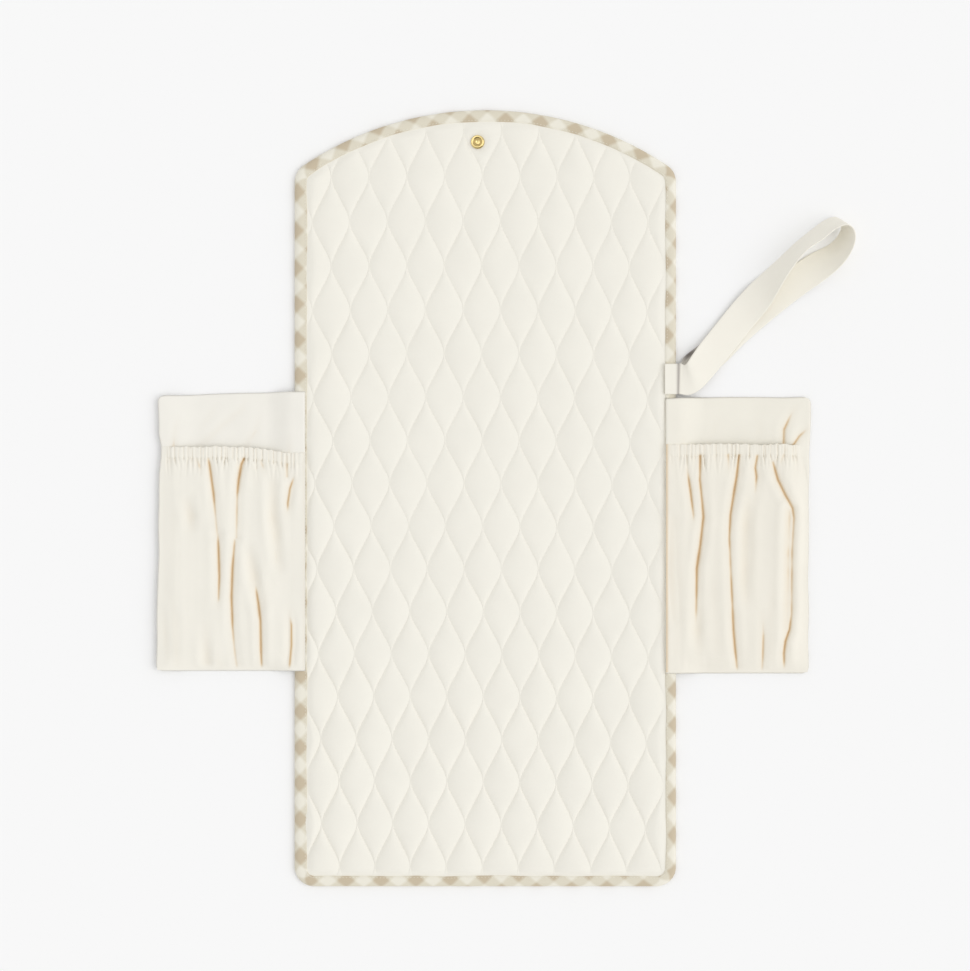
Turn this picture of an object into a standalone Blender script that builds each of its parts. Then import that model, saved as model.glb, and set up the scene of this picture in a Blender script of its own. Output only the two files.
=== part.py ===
"""A travel changing pad laid open: a quilted pad with an arched flap, two pocket wings, a wrist
strap and a press stud. Metres, +Z up. The origin is the middle of the pad's back face, +X runs
across the pad and +Y towards the arched flap."""

import math

import bmesh
import bpy
from mathutils import Vector

# The pad in plan: foot, middle and flap are its three panels, bottom to top
PAD_WIDTH = 0.350
FLAP_LENGTH = 0.230
FOOT_LENGTH = 0.192
ARCH_RADIUS = 0.300
SHOULDER_RADIUS = 0.018
CORNER_RADIUS = 0.018
FOLD_MARGIN = 0.004
FOLD_SLIT = 0.0006

# The layers of the pad and the binding round its edge
LAYER_GAP = 0.0003
BINDING_WIDTH = 0.012
BINDING_THICKNESS = 0.0005
BINDING_BEND = 0.002
COVER_THICKNESS = 0.0005
BARRIER_THICKNESS = 0.0003
WADDING_THICKNESS = 0.0013
LINING_THICKNESS = 0.0007
RIM_SLOPE = 0.0015

# The onion diamonds quilted into the lining
PUFF_HEIGHT = 0.0028
QUILT_PITCH = 0.0333
QUILT_PERIOD = 0.0788
QUILT_NECK = 0.0045
QUILT_X = -0.0198
QUILT_Y = -0.2597
QUILT_ROWS = 6
EDGE_FADE = 0.006

# The wings, sewn on top of the side binding
WING_HEIGHT = 0.255
WING_REACH = 0.124
SEAM_LAP = 0.010
WING_LAP_OVER = 0.0012
WING_DROP = 0.014
WING_SHEET = 0.0006
WING_CORNER = 0.008

# The gathered pockets on the wings
POCKET_HEIGHT = 0.206
POCKET_MARGIN = 0.0015
POCKET_SHEET = 0.0006
POCKET_ROOM = 0.0051
POCKET_SIDE_RISE = 0.011
POCKET_HEM_RISE = 0.012
POCKET_FOLDS = 5.0
POCKET_FOLD_HEIGHT = 0.0008
CASING_WIDTH = 0.010
ELASTIC_WIDTH = 0.006
ELASTIC_THICKNESS = 0.0007
CASING_OPEN = 0.014

# The wrist strap, a loop of cotton tape
STRAP_WIDTH = 0.0255
STRAP_THICKNESS = 0.0010
STRAP_CLEARANCE = 0.0015
STRAP_HEADING = 42.5
STRAP_ANCHOR_LENGTH = 0.0113
STRAP_ROOT_GAP = 0.0009

# The press stud: cap, socket and spring in the flap, stud and post in the foot
SNAP_X = -0.007
SNAP_FROM_TIP = 0.0297
CAP_RADIUS = 0.00625
CAP_PLATE = 0.0006
CAP_DOME = 0.0020
POST_RADIUS = 0.0015
POST_HEAD_RADIUS = 0.0023
POST_HEAD = 0.0004
SOCKET_RADIUS = 0.00625
SOCKET_HEIGHT = 0.0023
SOCKET_BASE = 0.0004
SOCKET_MOUTH = 0.0039
SOCKET_LIP = 0.0005
SPRING_RADIUS = 0.0041
SPRING_WIRE = 0.0003
SNAP_FLAT = 0.0085
STUD_RADIUS = 0.0055
STUD_FLANGE = 0.0004
STUD_BALL_RADIUS = 0.0035
STUD_BALL = 0.0014
STUD_WELL = 0.0030
PATCH_THICKNESS = 0.00025
RIVET_RADIUS = 0.0045
RIVET_PLATE = 0.0005

FOLD_CLEARANCE = 0.0004

# Places along the pad
MIDDLE_LENGTH = 2 * FOLD_MARGIN + WING_HEIGHT + STRAP_CLEARANCE + STRAP_WIDTH
PAD_LENGTH = FLAP_LENGTH + MIDDLE_LENGTH + FOOT_LENGTH
PAD_TOP = PAD_LENGTH / 2
PAD_BOTTOM = -PAD_LENGTH / 2
FOOT_FOLD_Y = PAD_BOTTOM + FOOT_LENGTH
FLAP_FOLD_Y = PAD_TOP - FLAP_LENGTH
WING_BOTTOM = FOOT_FOLD_Y + FOLD_MARGIN
WING_TOP = WING_BOTTOM + WING_HEIGHT
POCKET_MOUTH = WING_BOTTOM + POCKET_HEIGHT
STRAP_BOTTOM = WING_TOP + STRAP_CLEARANCE
STRAP_MIDDLE = STRAP_BOTTOM + STRAP_WIDTH / 2
SNAP_Y = PAD_TOP - SNAP_FROM_TIP
STUD_Y = 2 * FOOT_FOLD_Y - (2 * FLAP_FOLD_Y - SNAP_Y)
PAD_EDGE = PAD_WIDTH / 2
SEAM_X = PAD_EDGE - SEAM_LAP

# Heights in the pad, from the table up
RIM_LIFT = BINDING_THICKNESS + LAYER_GAP
COVER_RIM = RIM_LIFT
BARRIER_RIM = COVER_RIM + COVER_THICKNESS + LAYER_GAP
WADDING_RIM = BARRIER_RIM + BARRIER_THICKNESS + LAYER_GAP
WADDING_TOP = WADDING_RIM + WADDING_THICKNESS
LINING_BOTTOM = WADDING_TOP + LAYER_GAP
STITCH_Z = LINING_BOTTOM + LINING_THICKNESS
CROWN_Z = STITCH_Z + PUFF_HEIGHT
BINDING_TOP = STITCH_Z + LAYER_GAP + BINDING_THICKNESS
SEAT_Z = BINDING_TOP + LAYER_GAP
SOCKET_Z = STITCH_Z + LAYER_GAP
SOCKET_TOP = SOCKET_Z + SOCKET_HEIGHT

# Insets of the layers from the pad's edge
EDGE_TRIM = BINDING_BEND + LAYER_GAP
STEP_OUTER = BINDING_WIDTH + LAYER_GAP
STEP_INNER = STEP_OUTER + RIM_SLOPE

# Heights and places on the wings
WING_BODY = 2 * WING_SHEET + LAYER_GAP
CASING_DEPTH = POCKET_SHEET + 2 * LAYER_GAP + ELASTIC_THICKNESS
SEWN_DEPTH = POCKET_SHEET + LAYER_GAP
POCKET_CREST = WING_BODY + POCKET_ROOM + CASING_DEPTH + POCKET_SHEET / 2
WING_WIDTH = SEAM_LAP + WING_REACH
POCKET_X0 = POCKET_MARGIN
POCKET_X1 = WING_WIDTH - POCKET_MARGIN
SEAM_FLANGE = SEAT_Z + WING_BODY + LAYER_GAP + POCKET_SHEET / 2 + SEWN_DEPTH
POCKET_TOP = max(POCKET_CREST, SEAM_FLANGE) + POCKET_FOLD_HEIGHT + POCKET_SHEET / 2

# Heights of the fold lines: each panel turns over to lie on what has folded before it
FACE_TOP = max(CROWN_Z, SOCKET_TOP)
WING_FOLD_Z = (FACE_TOP + FOLD_CLEARANCE + POCKET_TOP) / 2
FOOT_FOLD_Z = (2 * WING_FOLD_Z + FOLD_CLEARANCE + CROWN_Z) / 2
FLAP_FOLD_Z = (2 * FOOT_FOLD_Z + FOLD_CLEARANCE + FACE_TOP) / 2

# The strap's root at the pad's right edge
STRAP_STACK = 2 * STRAP_THICKNESS + LAYER_GAP
STRAP_AXIS_X = PAD_EDGE + STRAP_ROOT_GAP
STRAP_AXIS_Z = SEAT_Z + STRAP_STACK + LAYER_GAP / 2

for old in list(bpy.data.objects):
    bpy.data.objects.remove(old)


# Helpers: materials, objects and joint axes
def material(name, colour, roughness=0.9, metallic=0.0):
    made = bpy.data.materials.new(name)
    made.use_nodes = True
    shader = made.node_tree.nodes["Principled BSDF"]
    shader.inputs["Base Color"].default_value = (*colour, 1.0)
    shader.inputs["Roughness"].default_value = roughness
    shader.inputs["Metallic"].default_value = metallic
    return made


def add_object(name, mesh, surface, parent=None, smooth=None):
    """An object from a bmesh, with its normals facing out and its material."""
    bmesh.ops.recalc_face_normals(mesh, faces=mesh.faces[:])
    data = bpy.data.meshes.new(name)
    mesh.to_mesh(data)
    mesh.free()
    made = bpy.data.objects.new(name, data)
    bpy.context.scene.collection.objects.link(made)
    data.materials.append(surface)
    if smooth is not None:
        data.shade_smooth()
        data.set_sharp_from_angle(angle=math.radians(smooth))
    if parent is not None:
        made.parent = parent
        made.matrix_parent_inverse = parent.matrix_basis.inverted()
    return made


def joint_axis(name, place):
    """An empty on a fold line, which carries the pieces that turn about it."""
    made = bpy.data.objects.new(name, None)
    made.location = place
    made.empty_display_size = 0.02
    bpy.context.scene.collection.objects.link(made)
    return made


def boolean(target, cutter, operation):
    cutter.hide_render = True
    cutter.display_type = "WIRE"
    cut = target.modifiers.new(cutter.name, "BOOLEAN")
    cut.operation = operation
    cut.solver = "EXACT"
    cut.object = cutter


def smoothstep(value):
    value = min(max(value, 0.0), 1.0)
    return value * value * (3.0 - 2.0 * value)


def skin(rings, ring_closed=False):
    """A body skinned over rings of points: capped at both ends, or closed on itself."""
    mesh = bmesh.new()
    rows = [[mesh.verts.new(point) for point in ring] for ring in rings]
    pairs = list(zip(rows, rows[1:]))
    if ring_closed:
        pairs.append((rows[-1], rows[0]))
    for low, high in pairs:
        for i in range(len(low)):
            j = (i + 1) % len(low)
            mesh.faces.new((low[i], low[j], high[j], high[i]))
    if not ring_closed:
        mesh.faces.new(rows[0][::-1])
        mesh.faces.new(rows[-1])
    return mesh


def trim(mesh, place, away):
    """Cuts off what lies on the far side of a plane and closes the cut."""
    parts = mesh.verts[:] + mesh.edges[:] + mesh.faces[:]
    bmesh.ops.bisect_plane(
        mesh, geom=parts, dist=1e-7, plane_co=place, plane_no=away, clear_outer=True
    )
    rim = [edge for edge in mesh.edges if edge.is_boundary]
    bmesh.ops.holes_fill(mesh, edges=rim, sides=0)


def turned(profile, place, segments=32):
    """A body turned about a vertical axis from (radius, height) points."""
    mesh = bmesh.new()
    points = [mesh.verts.new((radius, 0.0, height)) for radius, height in profile]
    edges = [mesh.edges.new(pair) for pair in zip(points, points[1:] + points[:1])]
    edges = [e for e in edges if max(abs(v.co.x) for v in e.verts) > 1e-6]
    bmesh.ops.spin(
        mesh, geom=points + edges, cent=(0, 0, 0), axis=(0, 0, 1), angle=2 * math.pi,
        steps=segments, use_merge=True,
    )
    bmesh.ops.remove_doubles(mesh, verts=mesh.verts[:], dist=1e-6)
    loose = [edge for edge in mesh.edges if not edge.link_faces]
    bmesh.ops.delete(mesh, geom=loose, context="EDGES")
    bmesh.ops.translate(mesh, verts=mesh.verts[:], vec=place)
    return mesh


def disc_cutter(name, radius, low, high, x, y, parent=None):
    profile = [(0.0, low), (radius, low), (radius, high), (0.0, high)]
    return add_object(name, turned(profile, (x, y, 0.0)), guide, parent)


guide = material("guide", (0.5, 0.5, 0.5))

# The joint axes, which carry the moving panels
flap_axis = joint_axis("flap_fold_axis", (0.0, FLAP_FOLD_Y, FLAP_FOLD_Z))
foot_axis = joint_axis("foot_fold_axis", (0.0, FOOT_FOLD_Y, FOOT_FOLD_Z))
left_axis = joint_axis("left_wing_axis", (-SEAM_X, 0.0, WING_FOLD_Z))
right_axis = joint_axis("right_wing_axis", (SEAM_X, 0.0, WING_FOLD_Z))
strap_axis = joint_axis("strap_axis", (STRAP_AXIS_X, STRAP_MIDDLE, STRAP_AXIS_Z))
PANEL_AXES = {"foot": foot_axis, "middle": None, "flap": flap_axis}
SLIT = FOLD_SLIT / 2
PANEL_ENDS = {
    "foot": (None, FOOT_FOLD_Y - SLIT),
    "middle": (FOOT_FOLD_Y + SLIT, FLAP_FOLD_Y - SLIT),
    "flap": (FLAP_FOLD_Y + SLIT, None),
}


# The pad's outline: two bottom corners, two shoulders and the arch
def arc(centre, radius, start, end, steps):
    angles = [start + (end - start) * i / steps for i in range(steps + 1)]
    return [
        (centre[0] + radius * math.cos(a), centre[1] + radius * math.sin(a)) for a in angles
    ]


def outline(inset):
    half = PAD_EDGE - inset
    corner = max(CORNER_RADIUS - inset, 0.001)
    shoulder = max(SHOULDER_RADIUS - inset, 0.001)
    arch = ARCH_RADIUS - inset
    low = PAD_BOTTOM + inset + corner
    arch_y = PAD_TOP - ARCH_RADIUS
    out = half - shoulder
    up = arch_y + math.sqrt((arch - shoulder) ** 2 - out * out)
    lean = math.atan2(up - arch_y, out)
    points = arc((-half + corner, low), corner, math.pi, 1.5 * math.pi, 5)
    points += arc((half - corner, low), corner, 1.5 * math.pi, 2 * math.pi, 5)
    points += arc((out, up), shoulder, 0.0, lean, 4)
    points += arc((0.0, arch_y), arch, lean, math.pi - lean, 16)[1:-1]
    points += arc((-out, up), shoulder, math.pi - lean, math.pi, 4)
    return points


def outline_ring(inset, height):
    return [(x, y, height) for x, y in outline(inset)]


def edge_distance(x, y):
    """How far a place lies inside the pad's edge."""
    arch_y = PAD_TOP - ARCH_RADIUS
    beyond = math.hypot(x, y - arch_y) if y > arch_y else 0.0
    side = PAD_EDGE - abs(x)
    if side < CORNER_RADIUS and y < PAD_BOTTOM + CORNER_RADIUS:
        return CORNER_RADIUS - math.hypot(CORNER_RADIUS - side, PAD_BOTTOM + CORNER_RADIUS - y)
    return min(side, y - PAD_BOTTOM, ARCH_RADIUS - beyond)


def panels(name, rings, surface, ring_closed=False):
    """One layer over the whole pad, cut at the fold lines into its three panels."""
    made = {}
    for panel, (low, high) in PANEL_ENDS.items():
        mesh = skin(rings, ring_closed)
        if low is not None:
            trim(mesh, (0.0, low, 0.0), (0, -1, 0))
        if high is not None:
            trim(mesh, (0.0, high, 0.0), (0, 1, 0))
        made[panel] = add_object(f"{panel}_{name}", mesh, surface, PANEL_AXES[panel])
    return made


def stepped(rim, thickness):
    """Rings of a sheet that lies low and steps up into the binding at its rim."""
    return [
        outline_ring(STEP_INNER, rim - RIM_LIFT),
        outline_ring(STEP_OUTER, rim),
        outline_ring(EDGE_TRIM, rim),
        outline_ring(EDGE_TRIM, rim + thickness),
        outline_ring(STEP_OUTER, rim + thickness),
        outline_ring(STEP_INNER, rim + thickness - RIM_LIFT),
    ]


# The outer cover, the moisture barrier and the wadding
cover_cloth = material("outer_cover_gingham", (0.70, 0.60, 0.44))
covers = panels("outer_cover", stepped(COVER_RIM, COVER_THICKNESS), cover_cloth)

barrier_film = material("barrier_film", (0.80, 0.82, 0.84), 0.45)
barriers = panels("moisture_barrier", stepped(BARRIER_RIM, BARRIER_THICKNESS), barrier_film)

wadding_fibre = material("wadding_fibre", (0.90, 0.90, 0.88))
wadding_rings = [
    outline_ring(STEP_INNER, WADDING_RIM - RIM_LIFT),
    outline_ring(STEP_OUTER, WADDING_RIM),
    outline_ring(EDGE_TRIM, WADDING_RIM),
    outline_ring(EDGE_TRIM, WADDING_TOP),
]
waddings = panels("wadding", wadding_rings, wadding_fibre)

# The quilted lining: puffs between wavy stitch lines that lean together and apart
HALF_PITCH = QUILT_PITCH / 2
SWING = (HALF_PITCH - QUILT_NECK) / 2
WIDEST = HALF_PITCH + 2 * SWING


def stitch_x(line, y):
    side = 1.0 if line % 2 == 0 else -1.0
    wave = math.cos(2 * math.pi * (y - QUILT_Y) / QUILT_PERIOD)
    return QUILT_X + (line + 0.5) * HALF_PITCH + side * SWING * wave


def puff(width, x, y):
    """The lining's rise above its stitch lines in the middle of a channel."""
    rise = PUFF_HEIGHT * math.sqrt(min(width / WIDEST, 1.0))
    inside = smoothstep((edge_distance(x, y) - BINDING_WIDTH) / EDGE_FADE)
    clear = smoothstep((math.hypot(x - SNAP_X, y - SNAP_Y) - SNAP_FLAT) / EDGE_FADE)
    return rise * inside * clear


def quilt_mesh(low, high):
    """The lining between two heights on the pad, wider than the pad: it is trimmed later."""
    step = QUILT_PERIOD / QUILT_ROWS
    first = math.floor((low - QUILT_Y) / step) - 1
    last = math.ceil((high - QUILT_Y) / step) + 1
    reach = int((PAD_EDGE + abs(QUILT_X)) / HALF_PITCH) + 2
    columns = 4 * reach
    mesh = bmesh.new()
    bmesh.ops.create_grid(mesh, x_segments=columns, y_segments=last - first, size=1.0)
    for vert in mesh.verts:
        column = round((vert.co.x + 1.0) / 2.0 * columns)
        y = QUILT_Y + step * (first + (vert.co.y + 1.0) / 2.0 * (last - first))
        line = column // 2 - reach
        near = stitch_x(line, y)
        if column % 2 == 0:
            vert.co = (near, y, STITCH_Z)
            continue
        far = stitch_x(line + 1, y)
        x = (near + far) / 2
        vert.co = (x, y, STITCH_Z + puff(far - near, x, y))
    rim = [edge for edge in mesh.edges if edge.is_boundary]
    walls = bmesh.ops.extrude_edge_only(mesh, edges=rim)
    for part in walls["geom"]:
        if isinstance(part, bmesh.types.BMVert):
            part.co.z = LINING_BOTTOM
    rim = [edge for edge in mesh.edges if edge.is_boundary]
    bmesh.ops.holes_fill(mesh, edges=rim, sides=0)
    return mesh


lining_cotton = material("lining_cotton", (0.87, 0.85, 0.77))
RIM_TOP = STITCH_Z + LAYER_GAP / 3
trim_rings = [
    outline_ring(EDGE_TRIM, LINING_BOTTOM - 0.01),
    outline_ring(EDGE_TRIM, RIM_TOP),
    outline_ring(STEP_OUTER, RIM_TOP),
    outline_ring(STEP_OUTER + 0.3 * EDGE_FADE, RIM_TOP + 0.75 * PUFF_HEIGHT),
    outline_ring(STEP_OUTER + EDGE_FADE, CROWN_Z + LAYER_GAP),
]
trimmers = panels("lining_trimmer", trim_rings, guide)
linings = {}
for panel, (low, high) in PANEL_ENDS.items():
    spread = quilt_mesh(low or PAD_BOTTOM, high or PAD_TOP)
    name = f"{panel}_quilted_lining"
    linings[panel] = add_object(name, spread, lining_cotton, PANEL_AXES[panel], 60)
    boolean(linings[panel], trimmers[panel], "INTERSECT")

# The binding, a tape folded over the pad's edge and cut at the fold lines
binding_gingham = material("binding_gingham", (0.74, 0.66, 0.52))


def binding_section():
    """(inset, height) points of the folded tape, outside first and then back inside it."""
    bend = BINDING_BEND
    inner = bend - BINDING_THICKNESS
    top = BINDING_TOP
    turn = math.radians(45)
    outer_in = bend - bend * math.cos(turn)
    inner_in = bend - inner * math.cos(turn)
    outside = [(BINDING_WIDTH, 0.0), (bend, 0.0), (outer_in, outer_in), (0.0, bend)]
    inside = [
        (BINDING_WIDTH, BINDING_THICKNESS), (bend, BINDING_THICKNESS), (inner_in, inner_in),
        (BINDING_THICKNESS, bend),
    ]
    outside += [(inset, top - height) for inset, height in reversed(outside)]
    inside += [(inset, top - height) for inset, height in reversed(inside)]
    return outside + inside[::-1]


binding_rings = [outline_ring(inset, height) for inset, height in binding_section()]
for panel, (low, high) in PANEL_ENDS.items():
    strips = {f"{panel}_binding": None}
    if panel == "middle":
        strips = {"left_binding": (1, 0, 0), "right_binding": (-1, 0, 0)}
    for name, away in strips.items():
        mesh = skin(binding_rings, True)
        if low is not None:
            trim(mesh, (0.0, low, 0.0), (0, -1, 0))
        if high is not None:
            trim(mesh, (0.0, high, 0.0), (0, 1, 0))
        if away is not None:
            trim(mesh, (0.0, 0.0, 0.0), away)
        add_object(name, mesh, binding_gingham, PANEL_AXES[panel], 50)

# The snap's socket half in the flap: cap outside, post through the lining, socket inside
brass = material("snap_brass", (0.80, 0.62, 0.30), 0.28, 1.0)
CAP_TOP = LINING_BOTTOM - LAYER_GAP
CAP_BOTTOM = CAP_TOP - CAP_PLATE - CAP_DOME
HEAD_Z = SOCKET_Z + SOCKET_BASE + LAYER_GAP
POST_HOLE = POST_RADIUS + LAYER_GAP
cap_well = disc_cutter(
    "cap_well", CAP_RADIUS + LAYER_GAP, -0.005, LINING_BOTTOM - LAYER_GAP / 2, SNAP_X, SNAP_Y
)
post_hole = disc_cutter(
    "post_hole", POST_HOLE, LINING_BOTTOM - 0.002, STITCH_Z + 0.01, SNAP_X, SNAP_Y
)
socket_seat = disc_cutter(
    "socket_seat", SOCKET_RADIUS + 2 * LAYER_GAP, RIM_TOP, CROWN_Z + 0.01, SNAP_X, SNAP_Y
)
for layer in (covers, barriers, waddings):
    boolean(layer["flap"], cap_well, "DIFFERENCE")
boolean(linings["flap"], socket_seat, "DIFFERENCE")
boolean(linings["flap"], post_hole, "DIFFERENCE")

cap_profile = [
    (0.0, CAP_BOTTOM),
    (0.45 * CAP_RADIUS, CAP_BOTTOM + 0.10 * CAP_DOME),
    (0.75 * CAP_RADIUS, CAP_BOTTOM + 0.36 * CAP_DOME),
    (0.93 * CAP_RADIUS, CAP_BOTTOM + 0.72 * CAP_DOME),
    (CAP_RADIUS, CAP_BOTTOM + CAP_DOME),
    (CAP_RADIUS, CAP_TOP),
    (POST_RADIUS, CAP_TOP),
    (POST_RADIUS, HEAD_Z),
    (POST_HEAD_RADIUS, HEAD_Z),
    (POST_HEAD_RADIUS, HEAD_Z + POST_HEAD),
    (0.0, HEAD_Z + POST_HEAD),
]
snap_place = (SNAP_X, SNAP_Y, 0.0)
add_object("snap_cap", turned(cap_profile, snap_place), brass, flap_axis, 40)

ROOM = SPRING_RADIUS + SPRING_WIRE + LAYER_GAP
socket_profile = [
    (POST_HOLE, SOCKET_Z),
    (SOCKET_RADIUS, SOCKET_Z),
    (SOCKET_RADIUS, SOCKET_TOP - 0.3 * SOCKET_HEIGHT),
    (0.96 * SOCKET_RADIUS, SOCKET_TOP - 0.1 * SOCKET_HEIGHT),
    (0.88 * SOCKET_RADIUS, SOCKET_TOP),
    (0.76 * SOCKET_RADIUS, SOCKET_TOP),
    (SOCKET_MOUTH, SOCKET_TOP - 0.1 * SOCKET_HEIGHT),
    (SOCKET_MOUTH, SOCKET_TOP - SOCKET_LIP),
    (ROOM, SOCKET_TOP - SOCKET_LIP - 0.00005),
    (ROOM, SOCKET_Z + SOCKET_BASE),
    (POST_HOLE, SOCKET_Z + SOCKET_BASE),
]
add_object("snap_socket", turned(socket_profile, snap_place), brass, flap_axis, 40)

steel = material("spring_steel", (0.62, 0.62, 0.60), 0.3, 1.0)
spring_z = (SOCKET_Z + SOCKET_BASE + SOCKET_TOP - SOCKET_LIP) / 2
spring_rings = []
for i in range(25):
    around = math.radians(20 + 320 * i / 24)
    out = Vector((math.cos(around), math.sin(around), 0.0))
    centre = Vector((SNAP_X, SNAP_Y, spring_z)) + out * SPRING_RADIUS
    spring_rings.append([
        centre + (out * math.cos(a) + Vector((0, 0, 1)) * math.sin(a)) * SPRING_WIRE
        for a in [math.pi * k / 3 for k in range(6)]
    ])
add_object("snap_spring", skin(spring_rings), steel, flap_axis, 50)

# The snap's stud half on the back of the foot, where the folded flap meets it
PLATE_TOP = LINING_BOTTOM - LAYER_GAP
PLATE_BOTTOM = PLATE_TOP - RIVET_PLATE
PATCH_TOP = PLATE_BOTTOM - LAYER_GAP
PATCH_BOTTOM = PATCH_TOP - PATCH_THICKNESS
FLANGE_TOP = PATCH_BOTTOM - LAYER_GAP
FLANGE_BOTTOM = FLANGE_TOP - STUD_FLANGE
STUD_TIP = FLANGE_BOTTOM - STUD_BALL
WELL_RADIUS = STUD_RADIUS + STUD_WELL
stud_place = (SNAP_X, STUD_Y, 0.0)
stud_well = disc_cutter(
    "stud_well", WELL_RADIUS, -0.005, LINING_BOTTOM - LAYER_GAP / 2, SNAP_X, STUD_Y
)
for layer in (covers, barriers, waddings):
    boolean(layer["foot"], stud_well, "DIFFERENCE")

stud_profile = [
    (POST_HOLE, STUD_TIP),
    (0.86 * STUD_BALL_RADIUS, STUD_TIP),
    (STUD_BALL_RADIUS, STUD_TIP + 0.3 * STUD_BALL),
    (STUD_BALL_RADIUS, STUD_TIP + 0.55 * STUD_BALL),
    (0.86 * STUD_BALL_RADIUS, FLANGE_BOTTOM - 0.1 * STUD_BALL),
    (0.86 * STUD_BALL_RADIUS, FLANGE_BOTTOM),
    (STUD_RADIUS, FLANGE_BOTTOM),
    (STUD_RADIUS, FLANGE_TOP),
    (POST_HOLE, FLANGE_TOP),
]
add_object("snap_stud", turned(stud_profile, stud_place), brass, foot_axis, 40)

rivet_profile = [
    (0.0, STUD_TIP + LAYER_GAP),
    (POST_RADIUS, STUD_TIP + LAYER_GAP),
    (POST_RADIUS, PLATE_BOTTOM),
    (RIVET_RADIUS, PLATE_BOTTOM),
    (RIVET_RADIUS, PLATE_TOP),
    (0.0, PLATE_TOP),
]
add_object("snap_rivet", turned(rivet_profile, stud_place), brass, foot_axis, 40)

patch_cloth = material("patch_interfacing", (0.85, 0.84, 0.80))
PATCH_RADIUS = WELL_RADIUS - LAYER_GAP
patch_profile = [
    (POST_HOLE, PATCH_BOTTOM),
    (PATCH_RADIUS, PATCH_BOTTOM),
    (PATCH_RADIUS, PATCH_TOP),
    (POST_HOLE, PATCH_TOP),
]
add_object("stud_patch", turned(patch_profile, stud_place), patch_cloth, foot_axis, 40)

# The wings: two sheets sewn on the binding, which drop over the pad's edge to the table
wing_cotton = material("wing_cotton", (0.87, 0.85, 0.77))
DROP_START = SEAM_LAP + WING_LAP_OVER
WING_BENDS = [DROP_START + WING_DROP * i / 5 for i in range(6)]


def wing_under(out):
    """Height of a wing's under side at a distance out from its seam."""
    return SEAT_Z * (1.0 - smoothstep((out - DROP_START) / WING_DROP))


def wing_sheet(name, side, lift, parent):
    low = (WING_WIDTH - WING_CORNER, WING_BOTTOM + WING_CORNER)
    high = (WING_WIDTH - WING_CORNER, WING_TOP - WING_CORNER)
    plan = [(0.0, WING_TOP), (0.0, WING_BOTTOM)]
    plan += arc(low, WING_CORNER, -0.5 * math.pi, 0.0, 4)
    plan += arc(high, WING_CORNER, 0.0, 0.5 * math.pi, 4)
    mesh = bmesh.new()
    mesh.faces.new([mesh.verts.new((x, y, 0.0)) for x, y in plan])
    for bend in WING_BENDS:
        parts = mesh.verts[:] + mesh.edges[:] + mesh.faces[:]
        bmesh.ops.bisect_plane(
            mesh, geom=parts, dist=1e-7, plane_co=(bend, 0, 0), plane_no=(1, 0, 0)
        )
    top = bmesh.ops.extrude_face_region(mesh, geom=mesh.faces[:])
    raised = {part for part in top["geom"] if isinstance(part, bmesh.types.BMVert)}
    for vert in mesh.verts:
        out = vert.co.x
        height = wing_under(out) + lift + (WING_SHEET if vert in raised else 0.0)
        vert.co = (side * (SEAM_X + out), vert.co.y, height)
    add_object(name, mesh, wing_cotton, parent)


# The pockets: a gathered sheet sewn down on three sides, its mouth turned in round an elastic
POCKET_BOTTOM = WING_BOTTOM + POCKET_MARGIN
POCKET_COLUMNS = 22
ELASTIC_FROM = 3
pocket_cotton = material("pocket_cotton", (0.87, 0.84, 0.75))
elastic_knit = material("elastic_knit", (0.90, 0.89, 0.85))


def casing_depth(out):
    """How far apart the two layers of the mouth lie: flat at the seams, open round the elastic."""
    end = min(out - POCKET_X0, POCKET_X1 - out)
    share = smoothstep(end / CASING_OPEN)
    return SEWN_DEPTH + (CASING_DEPTH - SEWN_DEPTH) * share


def pocket_height(out, y):
    """Middle height of the pocket's outer layer."""
    casing = smoothstep((y - POCKET_MOUTH + 2.2 * CASING_WIDTH) / CASING_WIDTH)
    flange = wing_under(out) + WING_BODY + LAYER_GAP + POCKET_SHEET / 2
    flange += casing * casing_depth(out)
    rise = smoothstep((POCKET_X1 - out) / POCKET_SIDE_RISE)
    rise *= smoothstep((y - POCKET_BOTTOM) / POCKET_HEM_RISE)
    crest = max(POCKET_CREST, flange)
    inner = smoothstep((out - POCKET_X0) / POCKET_SIDE_RISE)
    turn = (out - POCKET_X0) / (POCKET_X1 - POCKET_X0) * POCKET_FOLDS
    sway = 0.18 * math.sin((y - POCKET_BOTTOM) / POCKET_HEIGHT * 5.0)
    fold = POCKET_FOLD_HEIGHT * (0.5 - 0.5 * math.cos(2 * math.pi * (turn + sway)))
    return flange + (crest - flange) * rise + fold * rise * inner


def pocket_rows():
    """(y, depth share) from the sewn hem up to the mouth and back down inside it."""
    rise = POCKET_HEM_RISE
    rows = [(POCKET_BOTTOM + rise * share, 0.0) for share in (0.0, 0.3, 0.65, 1.0)]
    start = POCKET_BOTTOM + rise
    end = POCKET_MOUTH - 2.2 * CASING_WIDTH
    rows += [(start + (end - start) * i / 3, 0.0) for i in range(1, 4)]
    rows += [(POCKET_MOUTH - CASING_WIDTH * share, 0.0) for share in (1.2, 0.0)]
    for i in range(1, 4):
        a = math.pi * i / 3
        rows.append((POCKET_MOUTH + CASING_DEPTH / 2 * math.sin(a), 0.5 - 0.5 * math.cos(a)))
    rows.append((POCKET_MOUTH - 0.95 * CASING_WIDTH, 1.0))
    return rows


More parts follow.
